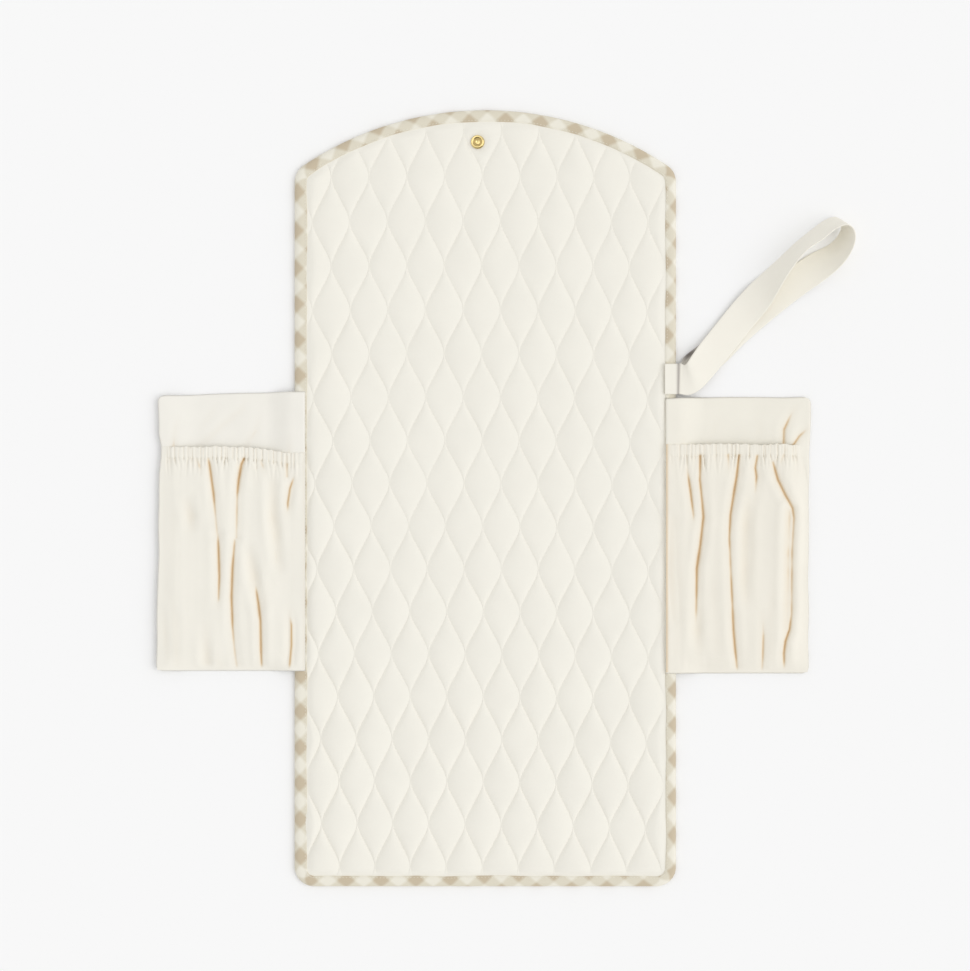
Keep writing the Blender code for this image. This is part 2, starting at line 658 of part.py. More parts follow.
def pocket(name, side, parent):
    rows = pocket_rows()
    mesh = bmesh.new()
    bmesh.ops.create_grid(mesh, x_segments=POCKET_COLUMNS, y_segments=len(rows) - 1, size=1.0)
    for vert in mesh.verts:
        across = (vert.co.x + 1.0) / 2.0
        y, depth = rows[round((vert.co.y + 1.0) / 2.0 * (len(rows) - 1))]
        out = POCKET_X0 + (POCKET_X1 - POCKET_X0) * across
        height = pocket_height(out, min(y, POCKET_MOUTH)) - depth * casing_depth(out)
        vert.co = (side * (SEAM_X + out), y, height)
    made = add_object(name, mesh, pocket_cotton, parent, 60)
    thick = made.modifiers.new("sheet", "SOLIDIFY")
    thick.thickness = POCKET_SHEET
    thick.offset = 0.0


def pocket_elastic(name, side, parent):
    """A flat band inside the casing, following the mouth from seam to seam."""
    low = POCKET_MOUTH - CASING_WIDTH / 2 - ELASTIC_WIDTH / 2
    high = low + ELASTIC_WIDTH
    rings = []
    for column in range(ELASTIC_FROM, POCKET_COLUMNS - ELASTIC_FROM + 1):
        out = POCKET_X0 + (POCKET_X1 - POCKET_X0) * column / POCKET_COLUMNS
        x = side * (SEAM_X + out)
        middle = -casing_depth(out) / 2
        below = middle - ELASTIC_THICKNESS / 2
        above = middle + ELASTIC_THICKNESS / 2
        rings.append([
            (x, low, pocket_height(out, low) + below),
            (x, high, pocket_height(out, high) + below),
            (x, high, pocket_height(out, high) + above),
            (x, low, pocket_height(out, low) + above),
        ])
    add_object(name, skin(rings), elastic_knit, parent)


for hand, side, parent in (("left", -1, left_axis), ("right", 1, right_axis)):
    wing_sheet(f"{hand}_wing_back", side, 0.0, parent)
    wing_sheet(f"{hand}_wing_front", side, WING_SHEET + LAYER_GAP, parent)
    pocket(f"{hand}_pocket", side, parent)
    pocket_elastic(f"{hand}_pocket_elastic", side, parent)

# The wrist strap: its doubled end is sewn on the binding and the loop lies twisted on the table
strap_cotton = material("strap_cotton", (0.84, 0.81, 0.72))
anchor_end = STRAP_AXIS_X - LAYER_GAP / 2
anchor_plan = [
    (anchor_end - STRAP_ANCHOR_LENGTH, STRAP_BOTTOM),
    (anchor_end, STRAP_BOTTOM),
    (anchor_end, STRAP_BOTTOM + STRAP_WIDTH),
    (anchor_end - STRAP_ANCHOR_LENGTH, STRAP_BOTTOM + STRAP_WIDTH),
]
anchor_rings = [[(x, y, SEAT_Z + lift) for x, y in anchor_plan] for lift in (0.0, STRAP_STACK)]
add_object("strap_anchor", skin(anchor_rings), strap_cotton)

# Stations round the loop: along and across the strap's heading, height over the table, the
# tape's tilt and how far its width is still turned towards the pad's edge
STRAP_LOW = SEAT_Z + STRAP_THICKNESS / 2
STRAP_HIGH = STRAP_LOW + STRAP_THICKNESS + LAYER_GAP
STRAP_STATIONS = [
    (0.0065, 0.0062, 0.0052, 1.0, -32.0),
    (0.0150, 0.0084, 0.0024, 1.0, -18.0),
    (0.0280, 0.0094, 0.0011, 1.0, -6.0),
    (0.0440, 0.0090, 0.0010, 1.0, 0.0),
    (0.0720, 0.0086, 0.0010, 1.5, 0.0),
    (0.1070, 0.0096, 0.0012, 2.0, 0.0),
    (0.1380, 0.0124, 0.0016, 3.0, 0.0),
    (0.1650, 0.0132, 0.0026, 7.0, 0.0),
    (0.1860, 0.0112, 0.0052, 15.0, -2.0),
    (0.2010, 0.0062, 0.0088, 26.0, -4.0),
    (0.2080, -0.0008, 0.0112, 35.0, 0.0),
    (0.2045, -0.0082, 0.0122, 47.0, 6.0),
    (0.1930, -0.0130, 0.0124, 58.0, 4.0),
    (0.1680, -0.0138, 0.0122, 57.0, 0.0),
    (0.1410, -0.0122, 0.0116, 50.0, 0.0),
    (0.1080, -0.0068, 0.0090, 32.0, 0.0),
    (0.0640, -0.0010, 0.0052, 12.0, 0.0),
    (0.0420, 0.0034, 0.0036, 4.0, -2.0),
    (0.0260, 0.0064, 0.0034, 1.5, -9.0),
    (0.0150, 0.0078, 0.0044, 1.0, -19.0),
    (0.0068, 0.0062, 0.0066, 1.0, -32.0),
]


def strap_frame(station):
    """Centre and width direction of the tape at a station."""
    along, across, height, tilt, skew = station
    heading = math.radians(STRAP_HEADING)
    ahead = Vector((math.cos(heading), math.sin(heading), 0.0))
    aside = Vector((math.sin(heading), -math.cos(heading), 0.0))
    root = Vector((PAD_EDGE, STRAP_MIDDLE, 0.0))
    turn = heading - math.pi / 2 + math.radians(skew)
    lean = math.radians(tilt)
    width = Vector((
        math.cos(turn) * math.cos(lean), math.sin(turn) * math.cos(lean), math.sin(lean)
    ))
    return root + ahead * along + aside * across + Vector((0, 0, height)), width


def spline(before, start, end, after, share):
    """A Catmull-Rom curve between two of four points."""
    a = (end - before) / 2
    b = (after - start) / 2
    square = share * share
    cube = square * share
    return (
        start * (2 * cube - 3 * square + 1) + a * (cube - 2 * square + share)
        + end * (3 * square - 2 * cube) + b * (cube - square)
    )


def strap_loop():
    begin = STRAP_AXIS_X + LAYER_GAP / 2
    edge = Vector((0.0, -1.0, 0.0))
    frames = [(Vector((begin, STRAP_MIDDLE, STRAP_LOW)), edge)]
    frames += [strap_frame(station) for station in STRAP_STATIONS]
    frames += [(Vector((begin, STRAP_MIDDLE, STRAP_HIGH)), edge)]
    centres = [frames[0][0]] + [centre for centre, _ in frames] + [frames[-1][0]]
    widths = [frames[0][1]] + [width for _, width in frames] + [frames[-1][1]]
    path = []
    for i in range(1, len(centres) - 2):
        for k in range(2):
            share = k / 2
            path.append((
                spline(*centres[i - 1:i + 3], share), spline(*widths[i - 1:i + 3], share)
            ))
    path.append(frames[-1])
    rings = []
    for i, (centre, width) in enumerate(path):
        ahead = path[min(i + 1, len(path) - 1)][0] - path[max(i - 1, 0)][0]
        if i in (0, len(path) - 1):
            ahead = Vector((1.0 if i == 0 else -1.0, 0.0, 0.0))
        flat = width.normalized() * (STRAP_WIDTH / 2)
        across = ahead.cross(flat).normalized() * (STRAP_THICKNESS / 2)
        rings.append([
            centre - flat - across, centre + flat - across, centre + flat + across,
            centre - flat + across,
        ])
    return skin(rings)


add_object("wrist_strap", strap_loop(), strap_cotton, strap_axis, 60)
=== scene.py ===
import math

import bmesh
import bpy
import numpy as np
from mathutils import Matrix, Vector


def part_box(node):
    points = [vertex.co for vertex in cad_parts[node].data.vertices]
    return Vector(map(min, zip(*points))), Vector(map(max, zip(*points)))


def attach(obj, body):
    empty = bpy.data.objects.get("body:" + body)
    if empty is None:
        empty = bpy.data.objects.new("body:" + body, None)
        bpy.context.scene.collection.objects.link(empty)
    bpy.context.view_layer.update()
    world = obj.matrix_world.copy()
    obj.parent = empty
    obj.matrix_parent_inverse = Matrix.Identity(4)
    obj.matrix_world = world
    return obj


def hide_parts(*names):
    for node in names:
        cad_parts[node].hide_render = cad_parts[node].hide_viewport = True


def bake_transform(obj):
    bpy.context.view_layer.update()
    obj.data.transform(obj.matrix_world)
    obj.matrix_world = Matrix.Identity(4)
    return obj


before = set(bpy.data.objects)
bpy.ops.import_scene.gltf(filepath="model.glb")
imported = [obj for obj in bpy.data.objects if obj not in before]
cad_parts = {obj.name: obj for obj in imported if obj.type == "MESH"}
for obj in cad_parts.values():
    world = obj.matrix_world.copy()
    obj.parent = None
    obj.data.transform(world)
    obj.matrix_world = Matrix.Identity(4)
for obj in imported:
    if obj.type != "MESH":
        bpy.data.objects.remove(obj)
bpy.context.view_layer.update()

# The outer cover: gingham cotton on the back of the pad, caught by the quilting's stitches.
# It is one cloth from flap to foot, closed in by the binding.
low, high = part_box("middle_outer_cover")
FOOT_FOLD = low.y
FLAP_FOLD = high.y
SPLIT = (FOOT_FOLD + FLAP_FOLD) / 2
low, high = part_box("flap_binding")
PAD_EDGE = high.x
PAD_TOP = high.y
BINDING_TOP = high.z
PAD_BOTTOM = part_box("foot_binding")[0].y
ARCH_RADIUS = 0.300
CORNER = 0.018
BINDING_WIDTH = 0.0112
BEND_BEFORE = 0.003
BEND_AFTER = 0.013
COVER_ROW = 0.0022
COVER_STEPS = 10
PAST_EDGE = 0.012
RIM_FADE = 0.004
QUILT_PITCH = 0.03407
QUILT_PERIOD = 0.07863
QUILT_NECK = 0.0003
QUILT_POINT = 0.045
QUILT_X = -0.01963
QUILT_Y = -0.26143
DRIFT_WIDTH = 0.160
DRIFT_LENGTH = 0.340
HALF_PITCH = QUILT_PITCH / 2
SWING = (HALF_PITCH - QUILT_NECK) / 2
GINGHAM_PERIOD = 0.0236
GINGHAM_LIGHT = (0.865, 0.832, 0.728)
GINGHAM_MIDDLE = (0.750, 0.702, 0.577)
GINGHAM_DARK = (0.602, 0.515, 0.380)


def smooth(value):
    """An even ramp from 0 to 1."""
    value = np.clip(value, 0.0, 1.0)
    return value * value * (3.0 - 2.0 * value)


def ripple(x, y, size, seed):
    """A calm uneven surface between about -1 and 1, with features of about that size."""
    total = 0.0
    for i in range(6):
        turn = seed * 1.7 + i * 1.05
        pace = 2 * math.pi / size * (0.7 + 0.13 * i)
        total = total + np.sin((x * math.cos(turn) + y * math.sin(turn)) * pace + seed * 3.1 + i * 2.3)
    return total / 3.2


def edge_distance(x, y):
    """How far a place lies inside the pad's edge."""
    arch_y = PAD_TOP - ARCH_RADIUS
    side = PAD_EDGE - np.abs(x)
    reach = np.minimum(side, y - PAD_BOTTOM)
    arch = ARCH_RADIUS - np.hypot(x, np.maximum(y - arch_y, 0.0))
    reach = np.minimum(reach, arch)
    corner = CORNER - np.hypot(np.maximum(CORNER - side, 0.0), np.maximum(PAD_BOTTOM + CORNER - y, 0.0))
    low_corner = (side < CORNER) & (y < PAD_BOTTOM + CORNER)
    return np.where(low_corner, corner, reach)


def stitch_x(line, y):
    """Where a wavy stitch line runs: neighbours lean together and apart by turns."""
    side = np.where(line % 2 == 0, 1.0, -1.0)
    phase = 2 * math.pi * (y - QUILT_Y) / QUILT_PERIOD
    wave = (np.cos(phase) + QUILT_POINT * np.cos(3 * phase)) / (1.0 + QUILT_POINT)
    return QUILT_X + (line + 0.5) * HALF_PITCH + side * SWING * wave


def quilt_drift(x, y):
    """The quilting as sewn: the pattern's lines drift a few millimetres over the pad."""
    u = x / DRIFT_WIDTH
    v = y / DRIFT_LENGTH
    to_x = -0.98 * u * u + 3.23 * u * v - 1.28 * u ** 3 - 1.58 * u * v * v - 1.65 * u * u * v
    to_x = to_x - 2.18 * v + 0.15 * v * v + 2.63 * v ** 3 + 0.35 * ripple(x, y, 0.12, 2.0)
    to_y = -1.88 * u * u + 1.58 * u * v + 5.63 * v * v - 1.58 * u + 3.68 * v ** 3
    return x + to_x / 1000, y + to_y / 1000


def quilt_grid(start, end, row_step, steps):
    """Places on the quilting between two heights of the pad, with each place's puff from 0 to 1."""
    rows = np.linspace(start, end, int(round((end - start) / row_step)) + 1)
    reach = int((PAD_EDGE + abs(QUILT_X)) / HALF_PITCH) + 2
    across = np.arange(2 * reach * steps + 1)
    line = across // steps - reach
    share = 0.5 - 0.5 * np.cos(math.pi * (across % steps) / steps)
    y = np.repeat(rows[:, None], len(across), axis=1)
    near = stitch_x(line[None, :], y)
    far = stitch_x(line[None, :] + 1, y)
    width = np.clip((far - near) / (HALF_PITCH + 2 * SWING), 0.0, 1.0)
    puff = (1.0 - np.abs(2 * share[None, :] - 1.0) ** 2.3) * width ** 0.75
    return *quilt_drift(near + share[None, :] * (far - near), y), puff


def add_object(name, data):
    made = bpy.data.objects.new(name, data)
    bpy.context.scene.collection.objects.link(made)
    return made


def mesh_object(name, points, faces, surface):
    """A smoothly shaded object from places and the corners of its faces."""
    mesh = bpy.data.meshes.new(name)
    mesh.from_pydata(points.reshape(-1, 3).tolist(), [], faces.tolist())
    mesh.shade_smooth()
    mesh.materials.append(surface)
    return add_object(name, mesh)


def grid_object(name, points, surface, keep=None, turn_over=False):
    """A cloth from rows of places, joined into quads."""
    rows, columns = points.shape[:2]
    index = np.arange(rows * columns).reshape(rows, columns)
    quads = np.stack([index[:-1, :-1], index[:-1, 1:], index[1:, 1:], index[1:, :-1]], axis=-1)
    if keep is not None:
        quads = quads[keep]
    quads = quads.reshape(-1, 4)
    if turn_over:
        quads = quads[:, ::-1]
    used, quads = np.unique(quads, return_inverse=True)
    return mesh_object(name, points.reshape(-1, 3)[used], quads.reshape(-1, 4), surface)


def add_node(tree, kind, values=None, **settings):
    made = tree.nodes.new(kind)
    for key, value in settings.items():
        setattr(made, key, value)
    for socket, value in (values or {}).items():
        if isinstance(value, bpy.types.NodeSocket):
            tree.links.new(value, made.inputs[socket])
        else:
            made.inputs[socket].default_value = value
    return made


def arithmetic(tree, operation, first, second=0.0):
    return add_node(tree, "ShaderNodeMath", {0: first, 1: second}, operation=operation).outputs[0]


def new_surface(name, roughness=0.92):
    """A matt cloth surface with its node tree and shader."""
    made = bpy.data.materials.new(name)
    made.use_nodes = True
    shader = made.node_tree.nodes["Principled BSDF"]
    shader.inputs["Roughness"].default_value = roughness
    shader.inputs["Specular IOR Level"].default_value = 0.15
    shader.inputs["Sheen Weight"].default_value = 0.06
    shader.inputs["Sheen Roughness"].default_value = 0.5
    return made, made.node_tree, shader


def weave_bump(tree, shader, thread=0.00055, strength=0.22):
    """Crossing threads and a little fluff, as a bump on the cloth."""
    place = add_node(tree, "ShaderNodeTexCoord").outputs["Object"]
    pace = 2 * math.pi / 20.0 / thread
    warp = add_node(tree, "ShaderNodeTexWave", {"Vector": place, "Scale": pace}, bands_direction="X")
    weft = add_node(tree, "ShaderNodeTexWave", {"Vector": place, "Scale": pace}, bands_direction="Y")
    fluff = add_node(tree, "ShaderNodeTexNoise", {"Vector": place, "Scale": 900.0, "Detail": 3.0})
    threads = arithmetic(tree, "MULTIPLY", warp.outputs["Fac"], weft.outputs["Fac"])
    height = arithmetic(tree, "ADD", threads, fluff.outputs["Fac"])
    bump = add_node(
        tree, "ShaderNodeBump", {"Height": height, "Strength": strength, "Distance": 0.0002}
    )
    tree.links.new(bump.outputs["Normal"], shader.inputs["Normal"])


def gingham(name, on_bias):
    """Even checks of two tones woven over cream, straight or cut on the bias along a UV."""
    made, tree, shader = new_surface(name)
    if on_bias:
        place = add_node(tree, "ShaderNodeUVMap", uv_map="cloth").outputs["UV"]
    else:
        place = add_node(tree, "ShaderNodeTexCoord").outputs["Object"]
    parts = add_node(tree, "ShaderNodeSeparateXYZ", {0: place})
    first, second = parts.outputs[0], parts.outputs[1]
    if on_bias:
        along, across = first, second
        first = arithmetic(tree, "MULTIPLY", arithmetic(tree, "ADD", along, across), math.sqrt(0.5))
        second = arithmetic(tree, "MULTIPLY", arithmetic(tree, "SUBTRACT", along, across), math.sqrt(0.5))
    bands = []
    for way in (first, second):
        swing = arithmetic(tree, "PINGPONG", way, GINGHAM_PERIOD / 2)
        step = arithmetic(tree, "MULTIPLY", swing, 2 / GINGHAM_PERIOD)
        band = add_node(tree, "ShaderNodeMapRange", {0: step, 1: 0.38, 2: 0.62, 3: 1.0, 4: 0.0})
        bands.append(band.outputs[0])
    tone = arithmetic(tree, "MULTIPLY", arithmetic(tree, "ADD", *bands), 0.5)
    ramp = add_node(tree, "ShaderNodeValToRGB", {0: tone})
    ramp.color_ramp.elements[0].color = (*GINGHAM_LIGHT, 1.0)
    ramp.color_ramp.elements[1].color = (*GINGHAM_DARK, 1.0)
    ramp.color_ramp.elements.new(0.5).color = (*GINGHAM_MIDDLE, 1.0)
    tree.links.new(ramp.outputs["Color"], shader.inputs["Base Color"])
    weave_bump(tree, shader)
    return made


cover_cloth = gingham("cover_gingham", on_bias=False)
COVER_LOW = 0.0002
COVER_DENT = 0.0010
COVER_RIM = 0.0008
HIDDEN_RIM = 0.004
BENDS = {
    "upper": ("flap", (0.0, FLAP_FOLD - BEND_BEFORE, 0.0), (0.0, FLAP_FOLD + BEND_AFTER, 0.0)),
    "lower": ("foot", (0.0, FOOT_FOLD + BEND_BEFORE, 0.0), (0.0, FOOT_FOLD - BEND_AFTER, 0.0)),
}
SPANS = {"upper": (SPLIT, PAD_TOP + PAST_EDGE), "lower": (PAD_BOTTOM - PAST_EDGE, SPLIT)}
CAP_LOW, CAP_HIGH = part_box("snap_cap")
SNAP_X = (CAP_LOW.x + CAP_HIGH.x) / 2
SNAP_Y = (CAP_LOW.y + CAP_HIGH.y) / 2
PATCH_LOW, PATCH_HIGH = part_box("stud_patch")
STUD_Y = (PATCH_LOW.y + PATCH_HIGH.y) / 2
# Centre, radius and depth of the dimples that hold the snap's cap and stud
DIMPLES = [(SNAP_Y, 0.0066, 0.0032), (STUD_Y, PATCH_HIGH.x - SNAP_X, PATCH_HIGH.z)]


def bend(made, body, start, end):
    """Bakes the cloth's placement into its mesh, the same for every body.
    """
    if body in ("foot", "right_wing"):
        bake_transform(made)
    else:
        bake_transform(made)


def inside_pad(x, y):
    """The quads of a grid that reach inside the rim hidden by the binding."""
    inside = edge_distance(x, y) > HIDDEN_RIM
    return inside[:-1, :-1] & inside[:-1, 1:] & inside[1:, 1:] & inside[1:, :-1]


for part, (body, fold, past) in BENDS.items():
    x, y, puff = quilt_grid(*SPANS[part], COVER_ROW, COVER_STEPS)
    rim = 1.0 - smooth((edge_distance(x, y) - BINDING_WIDTH) / RIM_FADE)
    z = COVER_LOW + COVER_DENT * (1.0 - puff) * (1.0 - rim) + COVER_RIM * rim
    for centre, radius, depth in DIMPLES:
        near = 1.0 - smooth((np.hypot(x - SNAP_X, y - centre) - radius) / RIM_FADE)
        z = z + (depth - z) * near
    cover = grid_object(
        f"outer_cover_{part}", np.stack([x, y, z], axis=-1), cover_cloth, inside_pad(x, y), True
    )
    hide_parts(f"{body}_outer_cover", "middle_outer_cover")
    bend(cover, body, fold, past)

# The quilted lining: cream cotton sewn through the wadding in onion diamonds, so that it puffs
# between the wavy stitch lines. It is one cloth like the cover, and its rim runs under the binding.
STITCH_Z = BINDING_TOP - 0.0008
PUFF_HEIGHT = 0.0030
PUCKER_HEIGHT = 0.00009
PUCKER_SIZE = 0.0065
SNAP_PRESSED = 0.0065
SNAP_FADE = 0.007
LINING_ROW = 0.0016
LINING_STEPS = 12
LINING_COLOUR = (0.905, 0.880, 0.800)


def patchy(tree, colour, scale, variety=0.025):
    """A colour with slight differences of tone from patch to patch."""
    place = add_node(tree, "ShaderNodeTexCoord").outputs["Object"]
    patches = add_node(tree, "ShaderNodeTexNoise", {"Vector": place, "Scale": scale, "Detail": 4.0})
    shift = add_node(
        tree, "ShaderNodeMapRange",
        {0: patches.outputs["Fac"], 1: 0.3, 2: 0.7, 3: 1.0 - variety, 4: 1.0},
    )
    tint = add_node(
        tree, "ShaderNodeMix", {0: 1.0, 6: (*colour, 1.0), 7: shift.outputs[0]},
        data_type="RGBA", blend_type="MULTIPLY",
    )
    return tint.outputs[2]


def cotton(name, colour):
    """Plain-weave cotton."""
    made, tree, shader = new_surface(name)
    tree.links.new(patchy(tree, colour, 35.0), shader.inputs["Base Color"])
    weave_bump(tree, shader)
    return made


lining_cloth = cotton("lining_cotton", LINING_COLOUR)


def lining_height(x, y, puff):
    """Height of the lining: puffs between the stitches, drawn flat at the binding and the snap."""
    inside = smooth((edge_distance(x, y) - BINDING_WIDTH + 0.001) / 0.006)
    pressed = 0.2 + 0.8 * smooth((np.hypot(x - SNAP_X, y - SNAP_Y) - SNAP_PRESSED) / SNAP_FADE)
    fuller = 0.30 * smooth((0.05 - y) / 0.35) + 0.20 * smooth((-0.09 - x) / 0.07)
    uneven = 0.75 + fuller + 0.10 * ripple(x, y, 0.06, 1.0)
    pucker = PUCKER_HEIGHT * ripple(x, y, PUCKER_SIZE, 4.0) * (1.0 - 0.6 * puff)
    return STITCH_Z + (PUFF_HEIGHT * puff * uneven + pucker) * inside * pressed


for part, (body, fold, past) in BENDS.items():
    x, y, puff = quilt_grid(*SPANS[part], LINING_ROW, LINING_STEPS)
    z = lining_height(x, y, puff)
    lining = grid_object(
        f"quilted_lining_{part}", np.stack([x, y, z], axis=-1), lining_cloth, inside_pad(x, y)
    )
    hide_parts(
        f"{body}_quilted_lining", "middle_quilted_lining", f"{body}_wadding", "middle_wadding",
        f"{body}_moisture_barrier", "middle_moisture_barrier",
    )
    bend(lining, body, fold, past)

# The quilting's thread: lockstitches of cream cotton thread along the wavy lines, drawn into the
# lining at both ends of each stitch.
STITCH_LENGTH = 0.0031
STITCH_SHOWN = 0.84
STITCH_SINK = 1.2
STITCH_STAGGER = 0.0011
THREAD_RADIUS = 0.00022
THREAD_SIDES = 5
QUILT_LINES = range(-12, 14)
AHEAD = 0.001
THREAD_COLOUR = (0.880, 0.850, 0.765)
thread_surface, thread_tree, thread_shader = new_surface("sewing_thread", 0.75)
thread_shader.inputs["Base Color"].default_value = (*THREAD_COLOUR, 1.0)
twist = add_node(
    thread_tree, "ShaderNodeTexWave",
    {"Vector": add_node(thread_tree, "ShaderNodeTexCoord").outputs["Object"], "Scale": 900.0},
    bands_direction="DIAGONAL",
)
twist_bump = add_node(
    thread_tree, "ShaderNodeBump", {"Height": twist.outputs["Fac"], "Strength": 0.3, "Distance": 0.0001}
)
thread_tree.links.new(twist_bump.outputs["Normal"], thread_shader.inputs["Normal"])


def stitches(name, centres, ways):
    """A row of small spindle-shaped stitches along given ways, with their ends sunk in the cloth."""
    ways = ways / np.linalg.norm(ways, axis=1)[:, None]
    up = np.array([0.0, 0.0, 1.0])
    side = np.cross(ways, up)
    side /= np.linalg.norm(side, axis=1)[:, None]
    half = ways * (STITCH_SHOWN / 2 * STITCH_LENGTH)
    sunk = up * THREAD_RADIUS * STITCH_SINK
    corners = [centres - half - sunk, centres + half - sunk]
    faces = []
    for i in range(THREAD_SIDES):
        turn = 2 * math.pi * i / THREAD_SIDES
        swell = side * (THREAD_RADIUS * math.cos(turn)) + up * (THREAD_RADIUS * math.sin(turn))
        corners.append(centres + swell)
        ahead = 2 + (i + 1) % THREAD_SIDES
        faces += [(0, ahead, 2 + i), (1, 2 + i, ahead)]
    first = len(corners) * np.arange(len(centres))
    faces = np.array(faces)[None, :, :] + first[:, None, None]
    return mesh_object(name, np.stack(corners, axis=1), faces.reshape(-1, 3), thread_surface)


for part, (body, fold, past) in BENDS.items():
    centres = []
    ways = []
    for line in QUILT_LINES:
        level = np.arange(SPANS[part][0] + 0.001, SPANS[part][1], STITCH_LENGTH)
        level = level + STITCH_STAGGER * (line % 3)
        x, y = quilt_drift(stitch_x(np.array(line), level), level)
        next_x, next_y = quilt_drift(stitch_x(np.array(line), level + AHEAD), level + AHEAD)
        keep = edge_distance(x, y) > BINDING_WIDTH + 0.0008
        height = lining_height(x, y, 0.0 * y) + 0.00005
        centres.append(np.stack([x, y, height], axis=-1)[keep])
        ways.append(np.stack([next_x - x, next_y - y, 0.0 * y], axis=-1)[keep])
    quilting = stitches(f"quilting_thread_{part}", np.concatenate(centres), np.concatenate(ways))
    bend(quilting, body, fold, past)

# The binding: gingham tape cut on the bias, folded over the pad's edge and sewn through near
# its inner edge, where it draws in and puckers a little. It runs round the whole pad.
binding_cloth = gingham("binding_gingham", on_bias=True)
BINDING_SECTION = [
    (0.0113, STITCH_Z - 0.0004), (0.0112, BINDING_TOP - 0.0004), (0.0109, BINDING_TOP - 0.0001),
    (0.0100, BINDING_TOP - 0.0001), (0.0085, BINDING_TOP + 0.0001), (0.0060, BINDING_TOP + 0.0002),
    (0.0038, BINDING_TOP - 0.0001), (0.0020, BINDING_TOP - 0.0008), (0.0007, BINDING_TOP - 0.0020),
    (0.0002, BINDING_TOP - 0.0033), (0.0010, 0.0008), (0.0026, 0.0002), (0.0060, 0.0001),
    (0.0100, 0.0001), (0.0112, 0.0005), (0.0113, 0.0010),
]
EDGE_STEP = 0.0025
TAPE_REPEAT = GINGHAM_PERIOD * math.sqrt(2)
# How the checks lie along the tape: distance in millimetres, number of the dark check there and
# how far in millimetres it lies from the tape's inner edge
TAPE_LAY = {
    "upper": [
        (0, -5.05, 2.0), (205, 1.10, 2.0), (355, 5.55, -8.0), (480, 9.35, -14.0), (680, 15.20, -25.0),
        (730, 16.60, -22.0), (780, 18.05, -21.5), (855, 20.35, -24.5), (1008, 24.95, -24.5),
    ],
    "lower": [
        (0, -4.30, 6.5), (155, 0.35, 6.5), (255, 3.40, 7.5), (380, 7.10, 5.5), (455, 9.45, 5.0),
        (530, 11.85, -0.5), (630, 14.95, -3.5), (705, 17.10, -7.0), (780, 19.25, -6.0),
        (855, 21.60, -6.0), (1009, 26.20, -6.0),
    ],
}
# How much of the tape shows: distance along the pad's edge and width of the tape, in millimetres
TAPE_SHOWN = {
    "upper": [(0, 9.8), (300, 9.8), (340, 10.6), (660, 10.6), (720, 11.6), (1008, 11.6)],
    "lower": [(0, 11.6), (310, 11.4), (350, 9.9), (650, 9.9), (700, 9.4), (1009, 9.8)],
}


def arc(centre, radius, start, end):
    steps = max(int(CORNER * abs(end - start) / EDGE_STEP), int(radius * abs(end - start) / 0.004))
    turn = np.linspace(start, end, steps + 1)
    return np.stack([centre[0] + radius * np.cos(turn), centre[1] + radius * np.sin(turn)], axis=-1)


def run(start, end):
    steps = int(max(abs(end[0] - start[0]), abs(end[1] - start[1])) / EDGE_STEP) + 1
    return np.linspace(start, end, steps + 1)


def pad_edge(part):
    """The pad's edge on one side of the split, with its outward direction at each place."""
    half = math.pi / 2
    shoulder = PAD_EDGE - CORNER
    arch_y = PAD_TOP - ARCH_RADIUS
    rise = arch_y + math.sqrt((ARCH_RADIUS - CORNER) ** 2 - shoulder ** 2)
    lean = math.atan2(rise - arch_y, shoulder)
    if part == "upper":
        pieces = [
            run((PAD_EDGE, SPLIT), (PAD_EDGE, rise)),
            arc((shoulder, rise), CORNER, 0.0, lean),
            arc((0.0, arch_y), ARCH_RADIUS, lean, math.pi - lean),
            arc((-shoulder, rise), CORNER, math.pi - lean, math.pi),
            run((-PAD_EDGE, rise), (-PAD_EDGE, SPLIT)),
        ]
    else:
        corner_y = PAD_BOTTOM + CORNER
        pieces = [
            run((-PAD_EDGE, SPLIT), (-PAD_EDGE, corner_y)),
            arc((-shoulder, corner_y), CORNER, math.pi, math.pi + half),
            run((-shoulder, PAD_BOTTOM), (shoulder, PAD_BOTTOM)),
            arc((shoulder, corner_y), CORNER, -half, 0.0),
            run((PAD_EDGE, corner_y), (PAD_EDGE, SPLIT)),
        ]
    places = np.concatenate([pieces[0]] + [piece[1:] for piece in pieces[1:]])
    ahead = np.gradient(places, axis=0)
    ahead /= np.linalg.norm(ahead, axis=1)[:, None]
    ahead[0] = (0.0, round(ahead[0][1]))
    ahead[-1] = (0.0, round(ahead[-1][1]))
    return places, np.stack([ahead[:, 1], -ahead[:, 0]], axis=-1)


